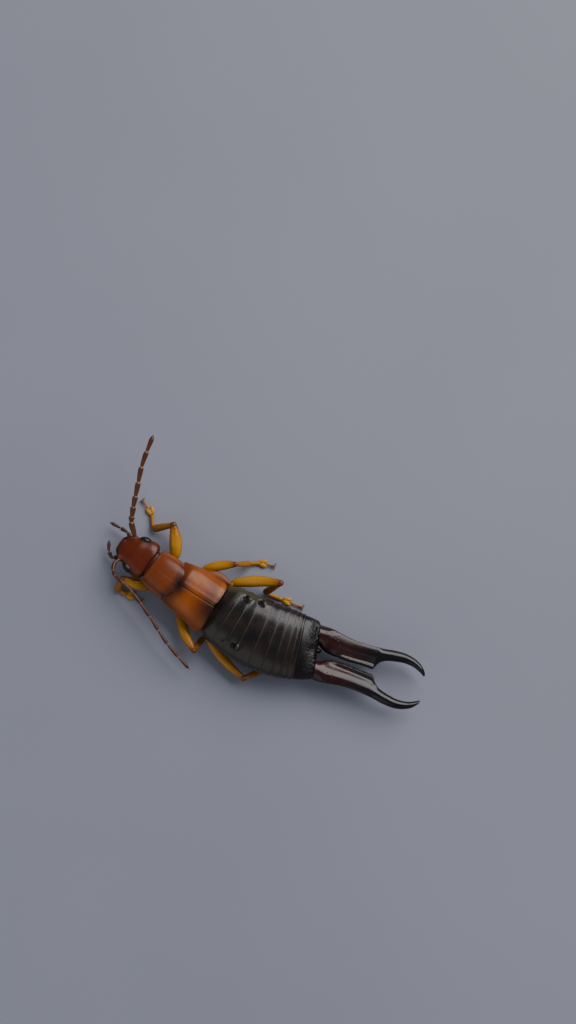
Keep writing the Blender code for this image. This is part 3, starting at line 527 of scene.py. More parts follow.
def makeHead():
    h = headSizes
    grid = headCapsule()
    x, y, z = grid[..., 0], grid[..., 1], grid[..., 2]
    side = np.abs(y)
    up = ramp(-0.05, 0.15, z)
    # drawn in where the eyes sit, swollen at the temples and over the feeler sockets
    height, *spot = h["eyeHollow"]
    push = height * bell(x, *spot[:2]) * bell(side, *spot[2:]) * bell(z, 0.12, 0.42)
    for height, *spot in h["swells"]:
        push = push + height * bell(x, *spot[:2]) * bell(side, *spot[2:]) * up
    grid = pushed(grid, push)
    # the fork of fine grooves on the crown
    lines = [h["crown"]] + [[(a, b * s) for a, b in h["fork"]] for s in (1, -1)]
    groove = np.minimum.reduce([lineDistance(grid, line) for line in lines])
    cut = np.exp(-(groove / h["grooveWidth"]) ** 2) * up
    grid = pushed(grid, -h["grooveDepth"] * cut)
    rim = bell(np.hypot(x - 1.07, (z - 0.12) * 1.25), 0.5, 0.05) * ramp(0.9, 1.1, side)
    dark = 0.22 * cut + 0.3 * rim + 0.75 * ramp(1.9, 2.35, x) * (1 - 0.3 * up)
    dark += 0.45 * ramp(0.3, -0.12, x) + 0.4 * (1 - up) * ramp(1.2, 0.2, side)
    shells = []

    def add(grid, **marks):
        shells.append(ringShell(onHead(grid), **marks))

    add(grid, dark=dark)
    # lip in two plates, jaws, the rings that the feelers stand in, and the throat
    for at, sizes in h["lips"]:
        lip = ballGrid(at, sizes, rows=30, cols=40)
        edge = bell(lip[..., 0], at[0] + sizes[0], 0.1)
        add(lip, dark=0.35 + 0.3 * edge)
    t = np.linspace(0, 1, 34)
    thick = curveThrough(h["jawShares"], h["jawHalves"], t)
    a, b, c = h["socketAt"]
    for s in (1, -1):
        jaw = tubeGrid(pathAt([(p, q * s, r) for p, q, r in h["jaw"]], t), thick, thick * 0.78, 20)
        add(jaw, dark=0.3 + 0.7 * t[:, None])
        socket = ballGrid((a, b * s, c), h["socketSize"], rows=20, cols=28)
        add(socket, pale=0.25 * bell(socket[..., 0], a + 0.22, 0.15))
    for at, sizes in h["throat"]:
        add(ballGrid(at, sizes), dark=0.2)
    # soft ringed neck that runs in under the shield
    t = np.linspace(0, 1, 60)
    wide, high = (half * (1 + 0.02 * np.sin(t * 40)) for half in h["neckHalf"])
    neck = tubeGrid(pathAt(h["neck"], t), wide, high, 60, 2.4)
    add(neck, dark=0.5, rough=0.6)
    makePiece("headShell", shells, ["head"], "head")


makeHead()
for which, side in (("left", 1), ("right", -1)):
    x, y, z = headSizes["eyeAt"]
    turn = -headSizes["eyeTurn"] * side
    eye = ringShell(onHead(ballGrid((x, y * side, z), headSizes["eyeSize"], turn, 48, 64)))
    makePiece("eyeBead_" + which, [eye], ["eye_" + which], "eye")
print("head made")

palpSizes = {"joints": (0.5, 0.55, 0.55, 0.8), "thick": 0.28, "slim": 0.55, "red": 0.0}
feelers = {
    "antenna_right": {
        "points": (
            (10.04, -0.84, 1.8), (10.3, -1.18, 2.0), (10.69, -1.68, 2.2),
            (10.92, -2.4, 2.45), (11.32, -4.08, 2.9), (11.58, -5.2, 3.15),
            (11.78, -7.58, 3.6)),
        "joints": (1.25, 0.4, 0.75, 0.8, 1.05, 1.15, 1.2, 1.3),
        "thick": 0.38, "slim": 0.66, "red": 0.5},
    "antenna_left": {
        "points": (
            (10.32, 0.86, 1.8), (10.54, 1.32, 1.99), (10.44, 1.74, 2.12),
            (10.16, 2.04, 2.22), (9.6, 2.24, 2.32), (8.9, 2.48, 2.36),
            (6.99, 3.49, 2.2), (4.93, 4.77, 1.95), (2.89, 5.69, 1.75)),
        "joints": (1.1, 0.36, 0.75, 0.85, 1.0, 1.1, 1.1, 1.15, 1.15, 1.1),
        "thick": 0.265, "slim": 0.6, "red": 0.2},
    "palp_right": {
        "points": (
            (10.06, -0.4, 1.38), (10.24, -0.64, 1.06), (10.44, -0.82, 0.86),
            (10.78, -1.02, 0.82), (11.25, -1.08, 0.82), (12.13, -1.14, 0.8)),
        **palpSizes},
    "palp_left": {
        "points": (
            (10.2, 0.43, 1.38), (10.4, 0.6, 1.08), (10.62, 0.8, 0.87),
            (10.94, 1.0, 0.84), (11.32, 0.7, 0.86), (11.65, 0.01, 0.84)),
        **palpSizes},
}


def makeFeeler(points, joints, thick, slim, red):
    # club-shaped joints: each starts slim, swells to its far end and rounds off into the next
    def perJoint(values, end):
        return np.concatenate([np.tile(values, len(joints)), [end]])

    steps = 22
    joints = np.array(joints)
    ends = np.concatenate([[0.0], np.cumsum(joints)]) / joints.sum()
    t = np.linspace(0, 1, steps, endpoint=False)
    along = np.concatenate([a + (b - a) * t for a, b in zip(ends, ends[1:])] + [[1.0]])
    club = slim + (1 - slim) * np.sin(np.clip(t * 1.12, 0, 1) * math.pi / 2) ** 1.3
    club *= 1 - 0.42 * ramp(0.93, 1.0, t) - 0.3 * ramp(0.06, 0.0, t)
    half = perJoint(club, 0.25) * thick / 2
    half *= 1.12 - 0.24 * along
    half[:steps] *= 0.98
    last = np.concatenate([np.zeros(steps * (len(joints) - 1)), ramp(0.6, 1.0, t), [1.0]])
    half *= 1 - 0.72 * last**2
    ring = perJoint(bell(t, 0.0, 0.05) + bell(t, 1.0, 0.05), 0.0)[:, None]
    deep = perJoint(0.55 * ramp(0.25, 0.8, t), 0.3)[:, None]
    grid = tubeGrid(pathAt(points, along), half, half, 28)
    shell = ringShell(grid, pale=0.5 * ring, dark=deep * (1 - red), red=red)
    return [shell, bristles(grid, 26 * len(joints), 0.09, 0.6, dark=0.3, red=red)]


for name, sizes in feelers.items():
    makePiece("feeler_" + name, makeFeeler(**sizes), [name], "feeler")
print("feelers made")

pronotumSizes = {
    "at": (7.04, 0.65), "turn": -11.5, "length": 2.12, "halves": (1.26, 1.42), "bow": 0.55,
    "top": 2.9, "drop": 0.62, "thick": 0.42
}


def makePronotum():
    # x falls from front to rear, less so at the sides; z drops with powers of the distance out
    p = pronotumSizes
    v, u = np.meshgrid(np.linspace(0, 1, 150), np.linspace(-1, 1, 190), indexing="ij")
    out = np.abs(u)
    half = p["halves"][0] + (p["halves"][1] - p["halves"][0]) * np.sin(v * math.pi / 2)
    half = half + 0.03 * np.sin(v * math.pi) + 0.04 * (1 - v)
    x = p["length"] / 2 + 0.09 - v * (p["length"] + 0.21 - (p["bow"] + 0.14) * out**2.4)
    x -= 0.05 * (1 - v) * out**14
    y = half * u * (1 - 0.02 * (1 - v) ** 6)
    z = -p["drop"] * (0.25 * out**2.2 + 0.75 * out**5) - 0.14 * (1 - v) ** 2 - 0.16 * (1 - v) ** 5
    # flat hind part, raised rims at the sides, a fine line down the middle
    z += 0.03 * bell(v, 0.4, 0.28) * (1 - out**3) - 0.02 * ramp(0.66, 0.78, v) * (1 - out**2)
    z += 0.03 * ramp(0.86, 0.97, out) - 0.02 * bell(out, 0.84, 0.07)
    z -= 0.008 * bell(u, 0.0, 0.012) * ramp(0.04, 0.1, v) * ramp(0.97, 0.9, v)
    z += 0.03 * bell(v, 0.02, 0.03)
    edge = (1 - out**22) * (1 - np.abs(2 * v - 1) ** 40)
    top = np.stack([x, y, z], axis=-1)
    under = top.copy()
    under[..., 2] -= p["thick"] * np.clip(edge, 0, 1) ** 0.5 * (0.35 + 0.65 * out**2)
    spot = (*p["at"], p["top"])
    # darker towards the rear, painted shade where the shield laps over the wing cases; also a
    # darker patch at the rear middle, a darker front edge and a fine dark middle line
    dark = 0.75 * ramp(0.66, 0.97, v) + 0.35 * ramp(0.1, 0.0, v)
    dark += 0.5 * bell(v, 0.95, 0.14) * bell(u, -0.1, 0.3) + 0.15 * bell(u, 0.0, 0.012)
    pale = 0.35 * bell(out, 0.93, 0.05) * ramp(0.0, 0.1, v)
    shell = plateShell(top, under, p["turn"], spot, dark=dark, pale=pale)
    makePiece("pronotumShield", [shell], ["pronotum"], "pronotum")


wingSizes = {
    "at": (5.72, 0.8), "turn": -7.0, "length": 2.72, "top": 3.04, "side": 1.82,
    "outer": {"left": (1.62, 1.76, 1.84, 1.92, 2.03, 2.12, 2.12),
              "right": (1.62, 1.72, 1.79, 1.79, 1.75, 1.73, 1.71)},
    "seamAt": {"left": 0.0, "right": -0.05}, "seamSwell": {"left": -0.02, "right": 0.03},
    "rearDarkAndShade": {"left": 0.98, "right": 0.735}, "rearPaintedHighlight": {"left": 0.0, "right": 0.4},
    "lead": {"left": 0.92, "right": 0.78}, "thick": 0.3, "under": 0.62
}


def makeWingCase(which, side):
    # a quarter oval from the middle seam to the flank, drawn along the back
    w = wingSizes
    v, u = np.meshgrid(np.linspace(0, 1, 170), np.linspace(0, 1, 170), indexing="ij")
    angle = u * math.radians(84)
    seam = w["seamAt"][which]
    outer = curveThrough(np.linspace(0, 1, 7), w["outer"][which], v.ravel()).reshape(v.shape)
    y = seam + (outer - seam) * np.sin(angle) ** 0.92
    height = w["top"] - w["side"]
    arch = w["side"] + height * np.cos(angle) ** 0.8
    # it starts lower, under the shield in front of it
    z = arch - 0.34 * ramp(0.22, -0.04, v) - 0.02 * ramp(0.4, 1, v)
    z += 0.012 * bell(u, 0.08, 0.05) - 0.02 * bell(u, 0.0, 0.02)
    z += w["seamSwell"][which] * bell(u, 0, 0.12)
    # soft lengthwise swell beside the shoulder and a shallow channel inside it
    z += 0.02 * bell(u, 0.6, 0.14) * ramp(0.05, 0.3, v) - 0.012 * bell(u, 0.82, 0.08)
    share = np.sin(angle) ** 6
    lead = w["lead"][which] * share * (1 - 0.72 * ramp(0.78, 1.0, u))
    lead += w["under"] * (1 - share)
    x = lead - v * (w["length"] + lead) + 0.3 * v**3 * (np.abs(u - 0.35) ** 2)
    x += 0.16 * ramp(0.86, 1.0, v) * (u**6 + bell(u, 0.0, 0.1) * 0.5)
    top = np.stack([x, y * side, z], axis=-1)
    edge = np.clip((1 - np.abs(2 * u - 1) ** 40) * (1 - np.abs(2 * v - 1) ** 60), 0, 1) ** 0.5
    under = top.copy()
    under[..., 1] -= side * w["thick"] * edge * np.sin(angle)
    under[..., 2] -= w["thick"] * edge * np.cos(angle)
    spot = (*w["at"], 0.0)
    # darker towards the rear and the seam, the case's own colour, with more painted shade on the
    # left case, the side away from the light
    rear = w["rearDarkAndShade"][which] * ramp(0.4, 0.95, v) * ramp(0.85, 0.05, u)
    dark = 0.4 * bell(u, 0.0, 0.018) + rear + 0.65 * bell(v, 0.2, 0.16) * bell(u, 0.0, 0.3)
    # painted shade at the front, just behind the shield's rear edge where the shield laps over the
    # case; a darker hind edge
    dark += 0.45 * ramp(0.34, 0.1, v) + 0.35 * ramp(0.93, 1.0, v)
    # painted highlight: a pale line beside the seam, on the raised edge of the case; and a pale
    # line along the outer rim
    pale = 0.14 * bell(u, 0.028, 0.01) * ramp(0.3, 0.6, v) + 0.18 * bell(u, 0.965, 0.02)
    # painted highlight: a soft pale patch on the middle of each case, where the light is reflected
    pale += 0.18 * bell(v, 0.42, 0.2) * bell(u, 0.42, 0.22)
    # painted highlight: a pale patch near the hind edge of the right case, where the light is
    # reflected
    pale += w["rearPaintedHighlight"][which] * bell(v, 0.93, 0.06) * bell(u, 0.45, 0.28)
    shell = plateShell(top, under, w["turn"], spot, dark=dark, pale=pale)
    makePiece("wingCase_" + which, [shell], ["wing_case_" + which], "wing")


makePronotum()
makeWingCase("left", 1)
makeWingCase("right", -1)
print("shields made")

trunkSizes = {
    "turn": -9.5, "neckAt": 0.35, "slant": 0.154, "seams": (6.55, 5.05, 3.75),
    "stations": ((8.2, 0.78, 2.36, 1.22), (7.8, 0.98, 2.48, 1.14), (7.0, 1.08, 2.56, 1.1),
                 (6.2, 1.18, 2.58, 1.1), (5.2, 1.34, 2.6, 1.1), (4.2, 1.44, 2.6, 1.1),
                 (3.34, 1.4, 2.56, 1.16)),
    "flanks": ((4.5, 1.16, 0.74), (5.9, 0.9, 0.7), (5.7, -1.1, 0.7)),
    "sidePlate": ((5.3, -0.14, 1.41), (4.6, -0.5, 1.42), (3.64, -0.78, 1.41),
                  (2.74, -0.74, 1.41)),
    "plateShares": (0, 0.3, 0.65, 1), "plateWide": (0.2, 0.4, 0.42, 0.1),
    "plateHigh": (0.14, 0.19, 0.19, 0.06),
    "breastPlates": ((7.5, 0.6, 0.42), (6.2, 0.85, 0.48), (4.7, 1.05, 0.56))
}


def trunkMiddle(x):
    # Y of the slanting middle line at a place along the body
    return trunkSizes["neckAt"] + (headSizes["at"][0] - x) * trunkSizes["slant"]


def makeTrunk():
    # superellipse sections along the slanting middle line, with plates and pads lapped over them
    t = trunkSizes
    stations = np.array(t["stations"])[::-1]
    x = np.linspace(stations[0, 0], stations[-1, 0], 90)
    half, top, bottom = (curveThrough(stations[:, 0], stations[:, k], x) for k in (1, 2, 3))
    cap = np.sqrt(np.clip(1 - np.abs(np.linspace(-1, 1, 90)) ** 16, 0.02, 1))
    rings = [turnPlan(ovalRing(w * c, (hi - lo) / 2 * c, (hi - lo) / 2 * c, 2.6, 96), t["turn"],
                      (at, trunkMiddle(at), (hi + lo) / 2))
             for at, w, hi, lo, c in zip(x, half, top, bottom, cap)]
    body = np.stack(rings)
    # the seams between its three rings
    seams = sum(bell(body[..., 0], at, 0.05) for at in t["seams"])
    body = pushed(body, -0.05 * seams)
    shells = [ringShell(body, dark=0.35 + 0.5 * seams, rough=0.5)]
    # three breast plates, each lapping over the next
    for at, long, wide in t["breastPlates"]:
        plate = ballGrid((at, trunkMiddle(at), 0.94), (long, wide, 0.3), t["turn"], 40, 56)
        shells.append(ringShell(plate, dark=0.5 * bell(plate[..., 0], at - long, 0.2), pale=0.15))
    for at, reach, long in t["flanks"]:
        flank = ballGrid((0.0, 0.0, 0.0), (long, 0.5, 0.27), 0.0, 60, 80)
        ridge = bell(np.hypot(flank[..., 0] / long, flank[..., 2] / 0.27), 0.7, 0.1)
        spot = (at, trunkMiddle(at) + reach, 1.38)
        flank = turnPlan(pushed(flank, -0.02 * ridge), t["turn"], spot)
        shells.append(ringShell(flank, dark=0.25 + 0.4 * ridge, rough=0.4))
    share = np.linspace(0, 1, 60)
    path = pathAt(t["sidePlate"], share)
    wide, high = (curveThrough(t["plateShares"], t[key], share)
                  for key in ("plateWide", "plateHigh"))
    plate = tubeGrid(path, wide, high, 48)
    ridge = bell(turns(48)[None, :], math.pi, 0.5)
    shells.append(ringShell(plate, dark=0.55 * ridge + 0.3 * bell(share, 1.0, 0.15)[:, None]))
    makePiece("trunkPlates", shells, ["thorax"], "trunk")


makeTrunk()
print("trunk made")

abdomenSizes = {
    "radius": 15.0, "at": (-0.2, 1.51), "seam": 1.92, "top": 3.12, "belly": 0.92,
    "half": 2.47, "widest": -1.0, "front": 3.84, "power": 2.25, "sides": 288,
    "ends": (2.2, 1.42, 0.68, -0.34, -1.14, -1.8, -2.34, -2.74, -3.04),
    "step": 0.055, "lip": 0.05, "overlap": 0.004,
    "glands": ((1.35, -0.3, 1.0), (0.3, -0.46, 1.0), (1.6, 2.98, 0.35), (0.78, 3.01, 0.9)),
    "tailFront": -3.0, "tailRear": -4.36,
    "tubercles": (-0.86, -0.7, -0.52, -0.34, 0.34, 0.52, 0.7, 0.86)
}


def arcPlace(s):
    # the middle line is an arc: place and heading at a distance ahead of its widest place
    (x, y), radius = abdomenSizes["at"], abdomenSizes["radius"]
    angle = s / radius
    return x + radius * np.sin(angle), y - radius * (1 - np.cos(angle)), -angle


def abdomenHalf(s):
    # half width: a parabola each way from the widest place, steeper to the rear
    away = s - abdomenSizes["widest"]
    return abdomenSizes["half"] * (1 - (away / np.where(away > 0, 9.6, 7.6)) ** 2)


def abdomenTop(s):
    # Z of the back: a flat parabola each way from its highest place
    return abdomenSizes["top"] - 0.03 * (s + 0.2) ** 2 * np.where(s > 0, 1.0, 1.25)


def abdomenBelly(s):
    # Z of the belly, likewise from its lowest place
    return abdomenSizes["belly"] + np.where(s > 0, 0.038, 0.018) * (s + 0.2) ** 2


def barrel(s, shrink):
    # rings across the arc: a superellipse, made smaller all round by shrink
    a = abdomenSizes
    angle = turns(a["sides"])[None, :]
    s, shrink = s[:, None], shrink[:, None]
    c, n = (signPower(wave(angle), 2 / a["power"]) for wave in (np.cos, np.sin))
    up = abdomenTop(s) - a["seam"] - shrink
    down = a["seam"] - abdomenBelly(s) - shrink
    y = (abdomenHalf(s) - shrink) * c
    z = a["seam"] + np.where(n > 0, up, down) * n
    px, py, heading = arcPlace(s)
    grid = np.stack([px - np.sin(heading) * y, py + np.cos(heading) * y, z], axis=-1)
    return grid, np.cos(angle) + 0 * s, np.sin(angle) + 0 * s


def makeAbdomen():
    # each ring climbs by a step to its rounded, pale hind margin, which laps over the next one
    a = abdomenSizes
    share = np.concatenate([[0.0, 0.02, 0.05, 0.1, 0.17], np.linspace(0.26, 0.8, 9),
                            [0.86, 0.9, 0.935, 0.96, 0.98, 0.992, 1.0]])
    rings, start = [], a["front"]
    for end in a["ends"]:
        left = (1 - share) * abs(end - start)
        lip = quarterRound(1 - left / a["lip"])
        drop = a["step"] * (1 - ramp(0, 1, share)) + 0.03 * (1 - np.where(share > 0.9, lip, 1))
        margin, shade = bell(left, 0.018, 0.013), bell(left, 0.085, 0.035)
        rings.append([start + (end - start) * share, drop, margin, shade, share])
        start = end - a["overlap"]
    s, drop, margin, shade, place = np.concatenate(rings, axis=1)
    # drawn in under the wing cases
    drop = drop + 0.9 * ramp(3.32, a["front"], s) + 0.14 * ramp(2.6, 3.2, s)
    grid, side, rise = barrel(s, drop)
    s, margin, shade, place = (part[:, None] for part in (s, margin, shade, place))
    up = ramp(-0.12, 0.02, rise)
    # belly plates sit a little inside the back plates
    amount = -0.05 * (1 - ramp(-0.42, -0.3, rise)) * ramp(3.0, 2.4, s)
    # gland folds: a raised ear with a pit in front of it
    pit = np.zeros_like(rise)
    for x, y, strength in a["glands"]:
        near = bell(grid[..., 0], x - 0.18, 0.2) * bell(grid[..., 1], y, 0.21)
        hole = bell(grid[..., 0], x + 0.1, 0.12) * bell(grid[..., 1], y, 0.16)
        amount = amount + strength * (0.17 * near - 0.2 * hole) * up
        pit = pit + strength * hole * up
    grid = pushed(grid, amount)
    # pale hind margins of the rings, their own colour, painted brighter on the right of the back
    # where the light is reflected: partly painted highlight
    line = margin * up * (0.28 + 0.55 * bell(side, -0.32, 0.42))
    line *= 0.55 + 0.45 * ramp(-2.6, -0.6, s)
    olive = ramp(0.66, 0.88, -side) * up * ramp(-0.6, 0.9, s)
    olive += 0.25 * ramp(0.1, 0.8, side) * up + 0.12 * ramp(0.0, 2.2, s)
    rough = np.where(rise < -0.35, 0.3, 0.0) + 0.12 * (1 - ramp(0, 0.25, place))
    # the gland pits are painted dark, painted shade in the hollows
    shell = ringShell(grid, pale=0.75 * line * (1 - pit), dark=1.6 * pit + 0.5 * shade,
                      red=0.85 * olive, rough=rough)
    makePiece("abdomenRings", [shell], ["abdomen"], "abdomen")


def makeTail():
    # last ring: blunt, wrinkled over the pincer roots, with tubercles on its hind edge and a knob
    a = abdomenSizes
    parts = ((0, 0.12, 10), (0.15, 0.84, 46), (0.86, 1, 24))
    t = np.concatenate([np.linspace(*part) for part in parts])
    s = a["tailFront"] + (a["tailRear"] - a["tailFront"]) * t
    shrink = 0.05 + 0.03 * (1 - ramp(0, 0.1, t)) - 0.02 * ramp(0.1, 0.5, t)
    shrink += 0.3 * (1 - quarterRound((t - 0.8) / 0.2))
    grid, side, rise = barrel(s, shrink)
    up = ramp(-0.1, 0.1, rise)
    share = t[:, None]
    boss = (bell(side, 0.55, 0.22) + bell(side, -0.55, 0.22)) * bell(share, 0.72, 0.24) * up
    dip = bell(side, 0.0, 0.14) * bell(share, 0.75, 0.3) * up
    bumps = sum(bell(side, at, 0.045) * bell(share, 0.9 - 0.02 * (k % 2), 0.05) * up
                for k, at in enumerate(a["tubercles"]))
    across = grid[..., 1] - grid[..., 1].mean(axis=1, keepdims=True)
    wrinkle = lumps(across, share * 1.6, 0.16) * bell(share, 0.66, 0.3) * (0.35 + boss)
    grid = pushed(grid, 0.06 * boss - 0.05 * dip + 0.05 * bumps + 0.028 * wrinkle * up)
    pale = 0.3 * bell(share, 0.0, 0.02) * up
    shells = [ringShell(grid, rough=0.1 + 0.7 * boss, dark=0.3, pale=pale)]
    x, y, heading = arcPlace(a["tailRear"])
    knob = ballGrid((x - 0.02, y, 1.62), (0.3, 0.19, 0.34), math.degrees(heading), 30, 36)
    shells.append(ringShell(knob, dark=0.6, rough=0.4))
    makePiece("tailRing", shells, ["tail_plate"], "tail")


makeAbdomen()
makeTail()
print("abdomen made")

pincerSizes = {
    "at": (-4.48, 1.0, 1.5), "turn": 6.0, "drop": 0.016, "flangeInner": 0.13,
    "flangeEnd": 4.1, "blade": 0.74, "dents": 22,
    "spine": ((0.0, 1.22), (0.85, 1.2), (2.0, 1.16), (3.1, 1.2), (4.2, 1.32),
              (5.2, 1.5), (5.95, 1.57), (6.65, 1.47), (7.2, 1.22), (7.58, 0.9)),
    "halfWidths": (0.72, 0.6, 0.47, 0.42, 0.4, 0.38, 0.33, 0.28, 0.23, 0.13),
    "halfHeights": (0.74, 0.6, 0.48, 0.43, 0.4, 0.36, 0.31, 0.27, 0.22, 0.13),
    "arms": {"left": (1, 0.46, 7.85), "right": (-1, 0.1, 7.62)}, "toothPitch": 0.42,
    "corner": {"left": 0.16, "right": 0.05}
}


def makePincer(which):
    # outer half of each section an ellipse, inner half drawn out to a blade with a raised rim
    p = pincerSizes
    side, root, reach = p["arms"][which]
    spine = np.array(p["spine"])
    columns = np.column_stack([spine, p["halfWidths"], p["halfHeights"]])
    along = runLength(spine)
    w = np.linspace(0, 1, 330)
    places = curveThrough(along, columns, w * along[-1])
    stretch = (reach - root) / spine[-1, 0]
    # it starts further in, inside the last ring
    run = root + places[:, 0] * stretch - 0.42 * ramp(0.06, 0.0, w)
    mid, wide, high = (places[:, k] for k in (1, 2, 3))
    end = p["flangeEnd"] + (reach - 7.62) * 0.9
    past = (run - end + np.sqrt((run - end) ** 2 + p["corner"][which] ** 2)) / 2
    gone = 1 - np.exp(-past / 0.22)
    teeth = np.clip(0.5 + 0.45 * lumps(run, 0.0, p["toothPitch"], 7), 0, 1.3)
    inner = p["flangeInner"] + 0.3 * np.clip(1 - (run - root), 0, 1) ** 2.5
    inner += 0.03 * np.sin(run * 2.2) - 0.03 * bell(run, end - 0.08, 0.12)
    long = np.maximum(mid - inner, wide) * (1 - gone) + wide * gone
    c, n = np.cos(turns(176))[None, :], np.sin(turns(176))[None, :]
    inward = np.clip(-c, 0, 1)
    blade = (p["blade"] * (1 - gone) * ramp(-0.2, 0.9, run - root))[:, None]
    sheet = (1 - blade) * np.abs(n) + blade * (1 - inward**1.35)
    taper = quarterRound((w - 0.98) / 0.02, 0.02)
    taper *= 1 - 0.08 * ramp(0.06, 0, w)
    y = np.where(c > 0, c * wide[:, None], c * long[:, None]) * taper[:, None]
    y = y - (0.028 * teeth * (1 - gone))[:, None] * inward**8
    z = np.sign(n) * sheet * (high * taper)[:, None]
    raised = blade / p["blade"] * ramp(0.6, 2.2, run)[:, None]
    rim = bell(inward, 0.9, 0.15) * raised * ramp(0.0, 0.3, n)
    hollow = bell(inward, 0.58, 0.18) * raised * ramp(0.1, 0.5, n)
    z = z + (0.18 + 0.03 * teeth[:, None]) * rim - 0.06 * hollow - p["drop"] * run[:, None]
    z = z - 0.1 * blade * inward**2
    grid = np.stack([-run[:, None] + 0 * c, (mid[:, None] + y) * side, z], axis=-1)
    # dents scattered over the root, which are also painted darker: painted shade in the hollows
    dents = np.zeros_like(z)
    spots = [rng.uniform(*limits, p["dents"]) for limits in ((0.1, 1.3), (0.8, 1.8), (0.022, 0.04))]
    for at, far, size in zip(*spots):
        dents += bell(run[:, None], root + at, size) * bell(mid[:, None] + y, far, size) * (n > 0)
    grid = pushed(grid, -0.022 * np.clip(dents, 0, 1))
    black = ramp(1.8, 4.4, run)[:, None]
    edge = ramp(0.66, 0.84, inward) * blade / p["blade"]
    # dark on the black tip and the inner rim, and painted shade in the dents
    shell = ringShell(turnPlan(grid, p["turn"], p["at"]),
                      dark=0.92 * black + 0.8 * edge + 0.6 * dents,
                      red=(1 - black) * ramp(-0.3, 0.6, inward - 0.6 * c),
                      rough=0.15 * (1 - black) + 0.5 * edge)
    makePiece("pincerArm_" + which, [shell], ["pincer_" + which], "pincer")


makePincer("left")
makePincer("right")
print("pincers made")

# root, hip, knee, ankle, three joints of the foot in plan, bow of the thigh,
# thickness of thigh and shin
legs = {
    "front_right": (
        (7.4, 0.1, 0.8), (7.0, -0.72, 0.86), (8.06, -2.78, 1.5),
        (9.3, -2.02, 0.3), ((9.8, -2.9), (10.2, -3.26), (10.86, -3.54)),
        (-0.1, -0.02), 0.88, 0.56),
    "front_left": (
        (7.62, 1.0, 0.8), (7.74, 1.76, 0.8), (9.66, 2.04, 1.2),
        (9.72, 2.86, 0.3), ((9.02, 2.84), (8.5, 2.76), (7.86, 2.86)),
        (0.0, 0.04), 0.8, 0.52),
    "mid_right": (
        (5.4, 0.26, 0.8), (4.94, -0.9, 0.82), (3.06, -2.1, 1.62),
        (2.18, -2.66, 0.3), ((1.58, -3.02), (1.18, -3.16), (0.52, -3.24)),
        (-0.04, -0.12), 0.7, 0.46),
    "mid_left": (
        (5.6, 1.48, 0.8), (5.18, 2.5, 0.82), (3.14, 4.42, 1.62),
        (2.96, 3.38, 0.24), ((2.34, 2.44), (2.0, 1.96), (1.6, 1.4)),
        (0.08, 0.1), 0.72, 0.48),
    "hind_right": (
        (3.6, 0.5, 0.8), (2.8, -0.84, 0.86), (-0.3, -2.24, 1.92),
        (0.4, -1.26, 0.3), ((-0.94, -1.38), (-1.56, -1.46), (-2.46, -1.46)),
        (-0.04, -0.16), 0.78, 0.54),
    "hind_left": (
        (3.7, 1.8, 0.8), (2.84, 3.1, 1.08), (-0.74, 4.72, 0.98),
        (-1.95, 3.4, 0.3), ((-2.8, 2.92), (-3.36, 2.7), (-4.1, 2.52)),
        (0.05, 0.16), 0.66, 0.5),
}
# thicknesses, and for bristles their count, length, lean, first and last share, dark and red
legSizes = {
    "hip": 0.62, "start": 0.24, "toeHeights": (0.155, 0.13, 0.16), "first": 0.3, "last": 0.16,
    "lobes": (0.32, 0.17, 0.12), "lobeGap": 0.12, "lobeDrop": 0.012, "lobeTurn": 16,
    "claw": 0.05, "clawSpread": 0.27, "clawDrop": 0.12,
    "thighHair": (24, 0.09, 0.75, 0.3, 0.95, 0.3, 0.5),
    "shinHair": (70, 0.15, 0.7, 0.1, 0.95, 0.4, 0.6),
    "firstHair": (50, 0.12, 0.7, 0.1, 0.95, 0.3, 0.4),
    "lastHair": (24, 0.1, 0.7, 0.2, 0.9, 0.4, 0.5)
}
# half widths along each length, as share of it and factor
legProfiles = {
    "hip": ((0, 0.9), (0.5, 1.0), (1, 0.72)),
    "thigh": ((0, 0.55), (0.12, 0.8), (0.4, 1.0), (0.7, 0.88), (0.9, 0.66), (1, 0.6)),
    "shin": ((0, 0.8), (0.12, 0.72), (0.5, 0.86), (0.85, 0.95), (1, 0.86)),
    "first": ((0, 0.8), (0.5, 0.85), (1, 1.05)), "last": ((0, 0.8), (0.6, 0.8), (1, 1.25))
}


def limb(start, end, thick, profile, bow=(0.0, 0.0), flatten=1.0, rows=44, cols=32, sag=0.0):
    # straight or bowed length whose half width follows one of the profiles
    t = easedShares(rows)
    start, end = np.asarray(start, float), np.asarray(end, float)
    path = start + t[:, None] * (end - start)
    path[:, :2] += np.sin(t * math.pi)[:, None] * np.asarray(bow)
    path[:, 2] += sag * np.sin(t * math.pi)
    knots = np.array(legProfiles[profile])
    half = np.maximum(np.interp(t, knots[:, 0], knots[:, 1]) * 0.35
                      + 0.65 * curveThrough(knots[:, 0], knots[:, 1], t), 0.02) * thick / 2
    cap = np.sqrt(np.clip(1 - np.abs(2 * t - 1) ** 18, 0.004, 1))
    return tubeGrid(path, half * cap, half * cap * flatten, cols), t[:, None]


def shadedEdgeMask(cols):
    # 1 along the two edges of a limb, 0 on its top and underside: the mask for painted shade along
    # the edges of the see-through legs
    return bell(np.abs(np.cos(turns(cols))), 1.0, 0.16)[None, :]


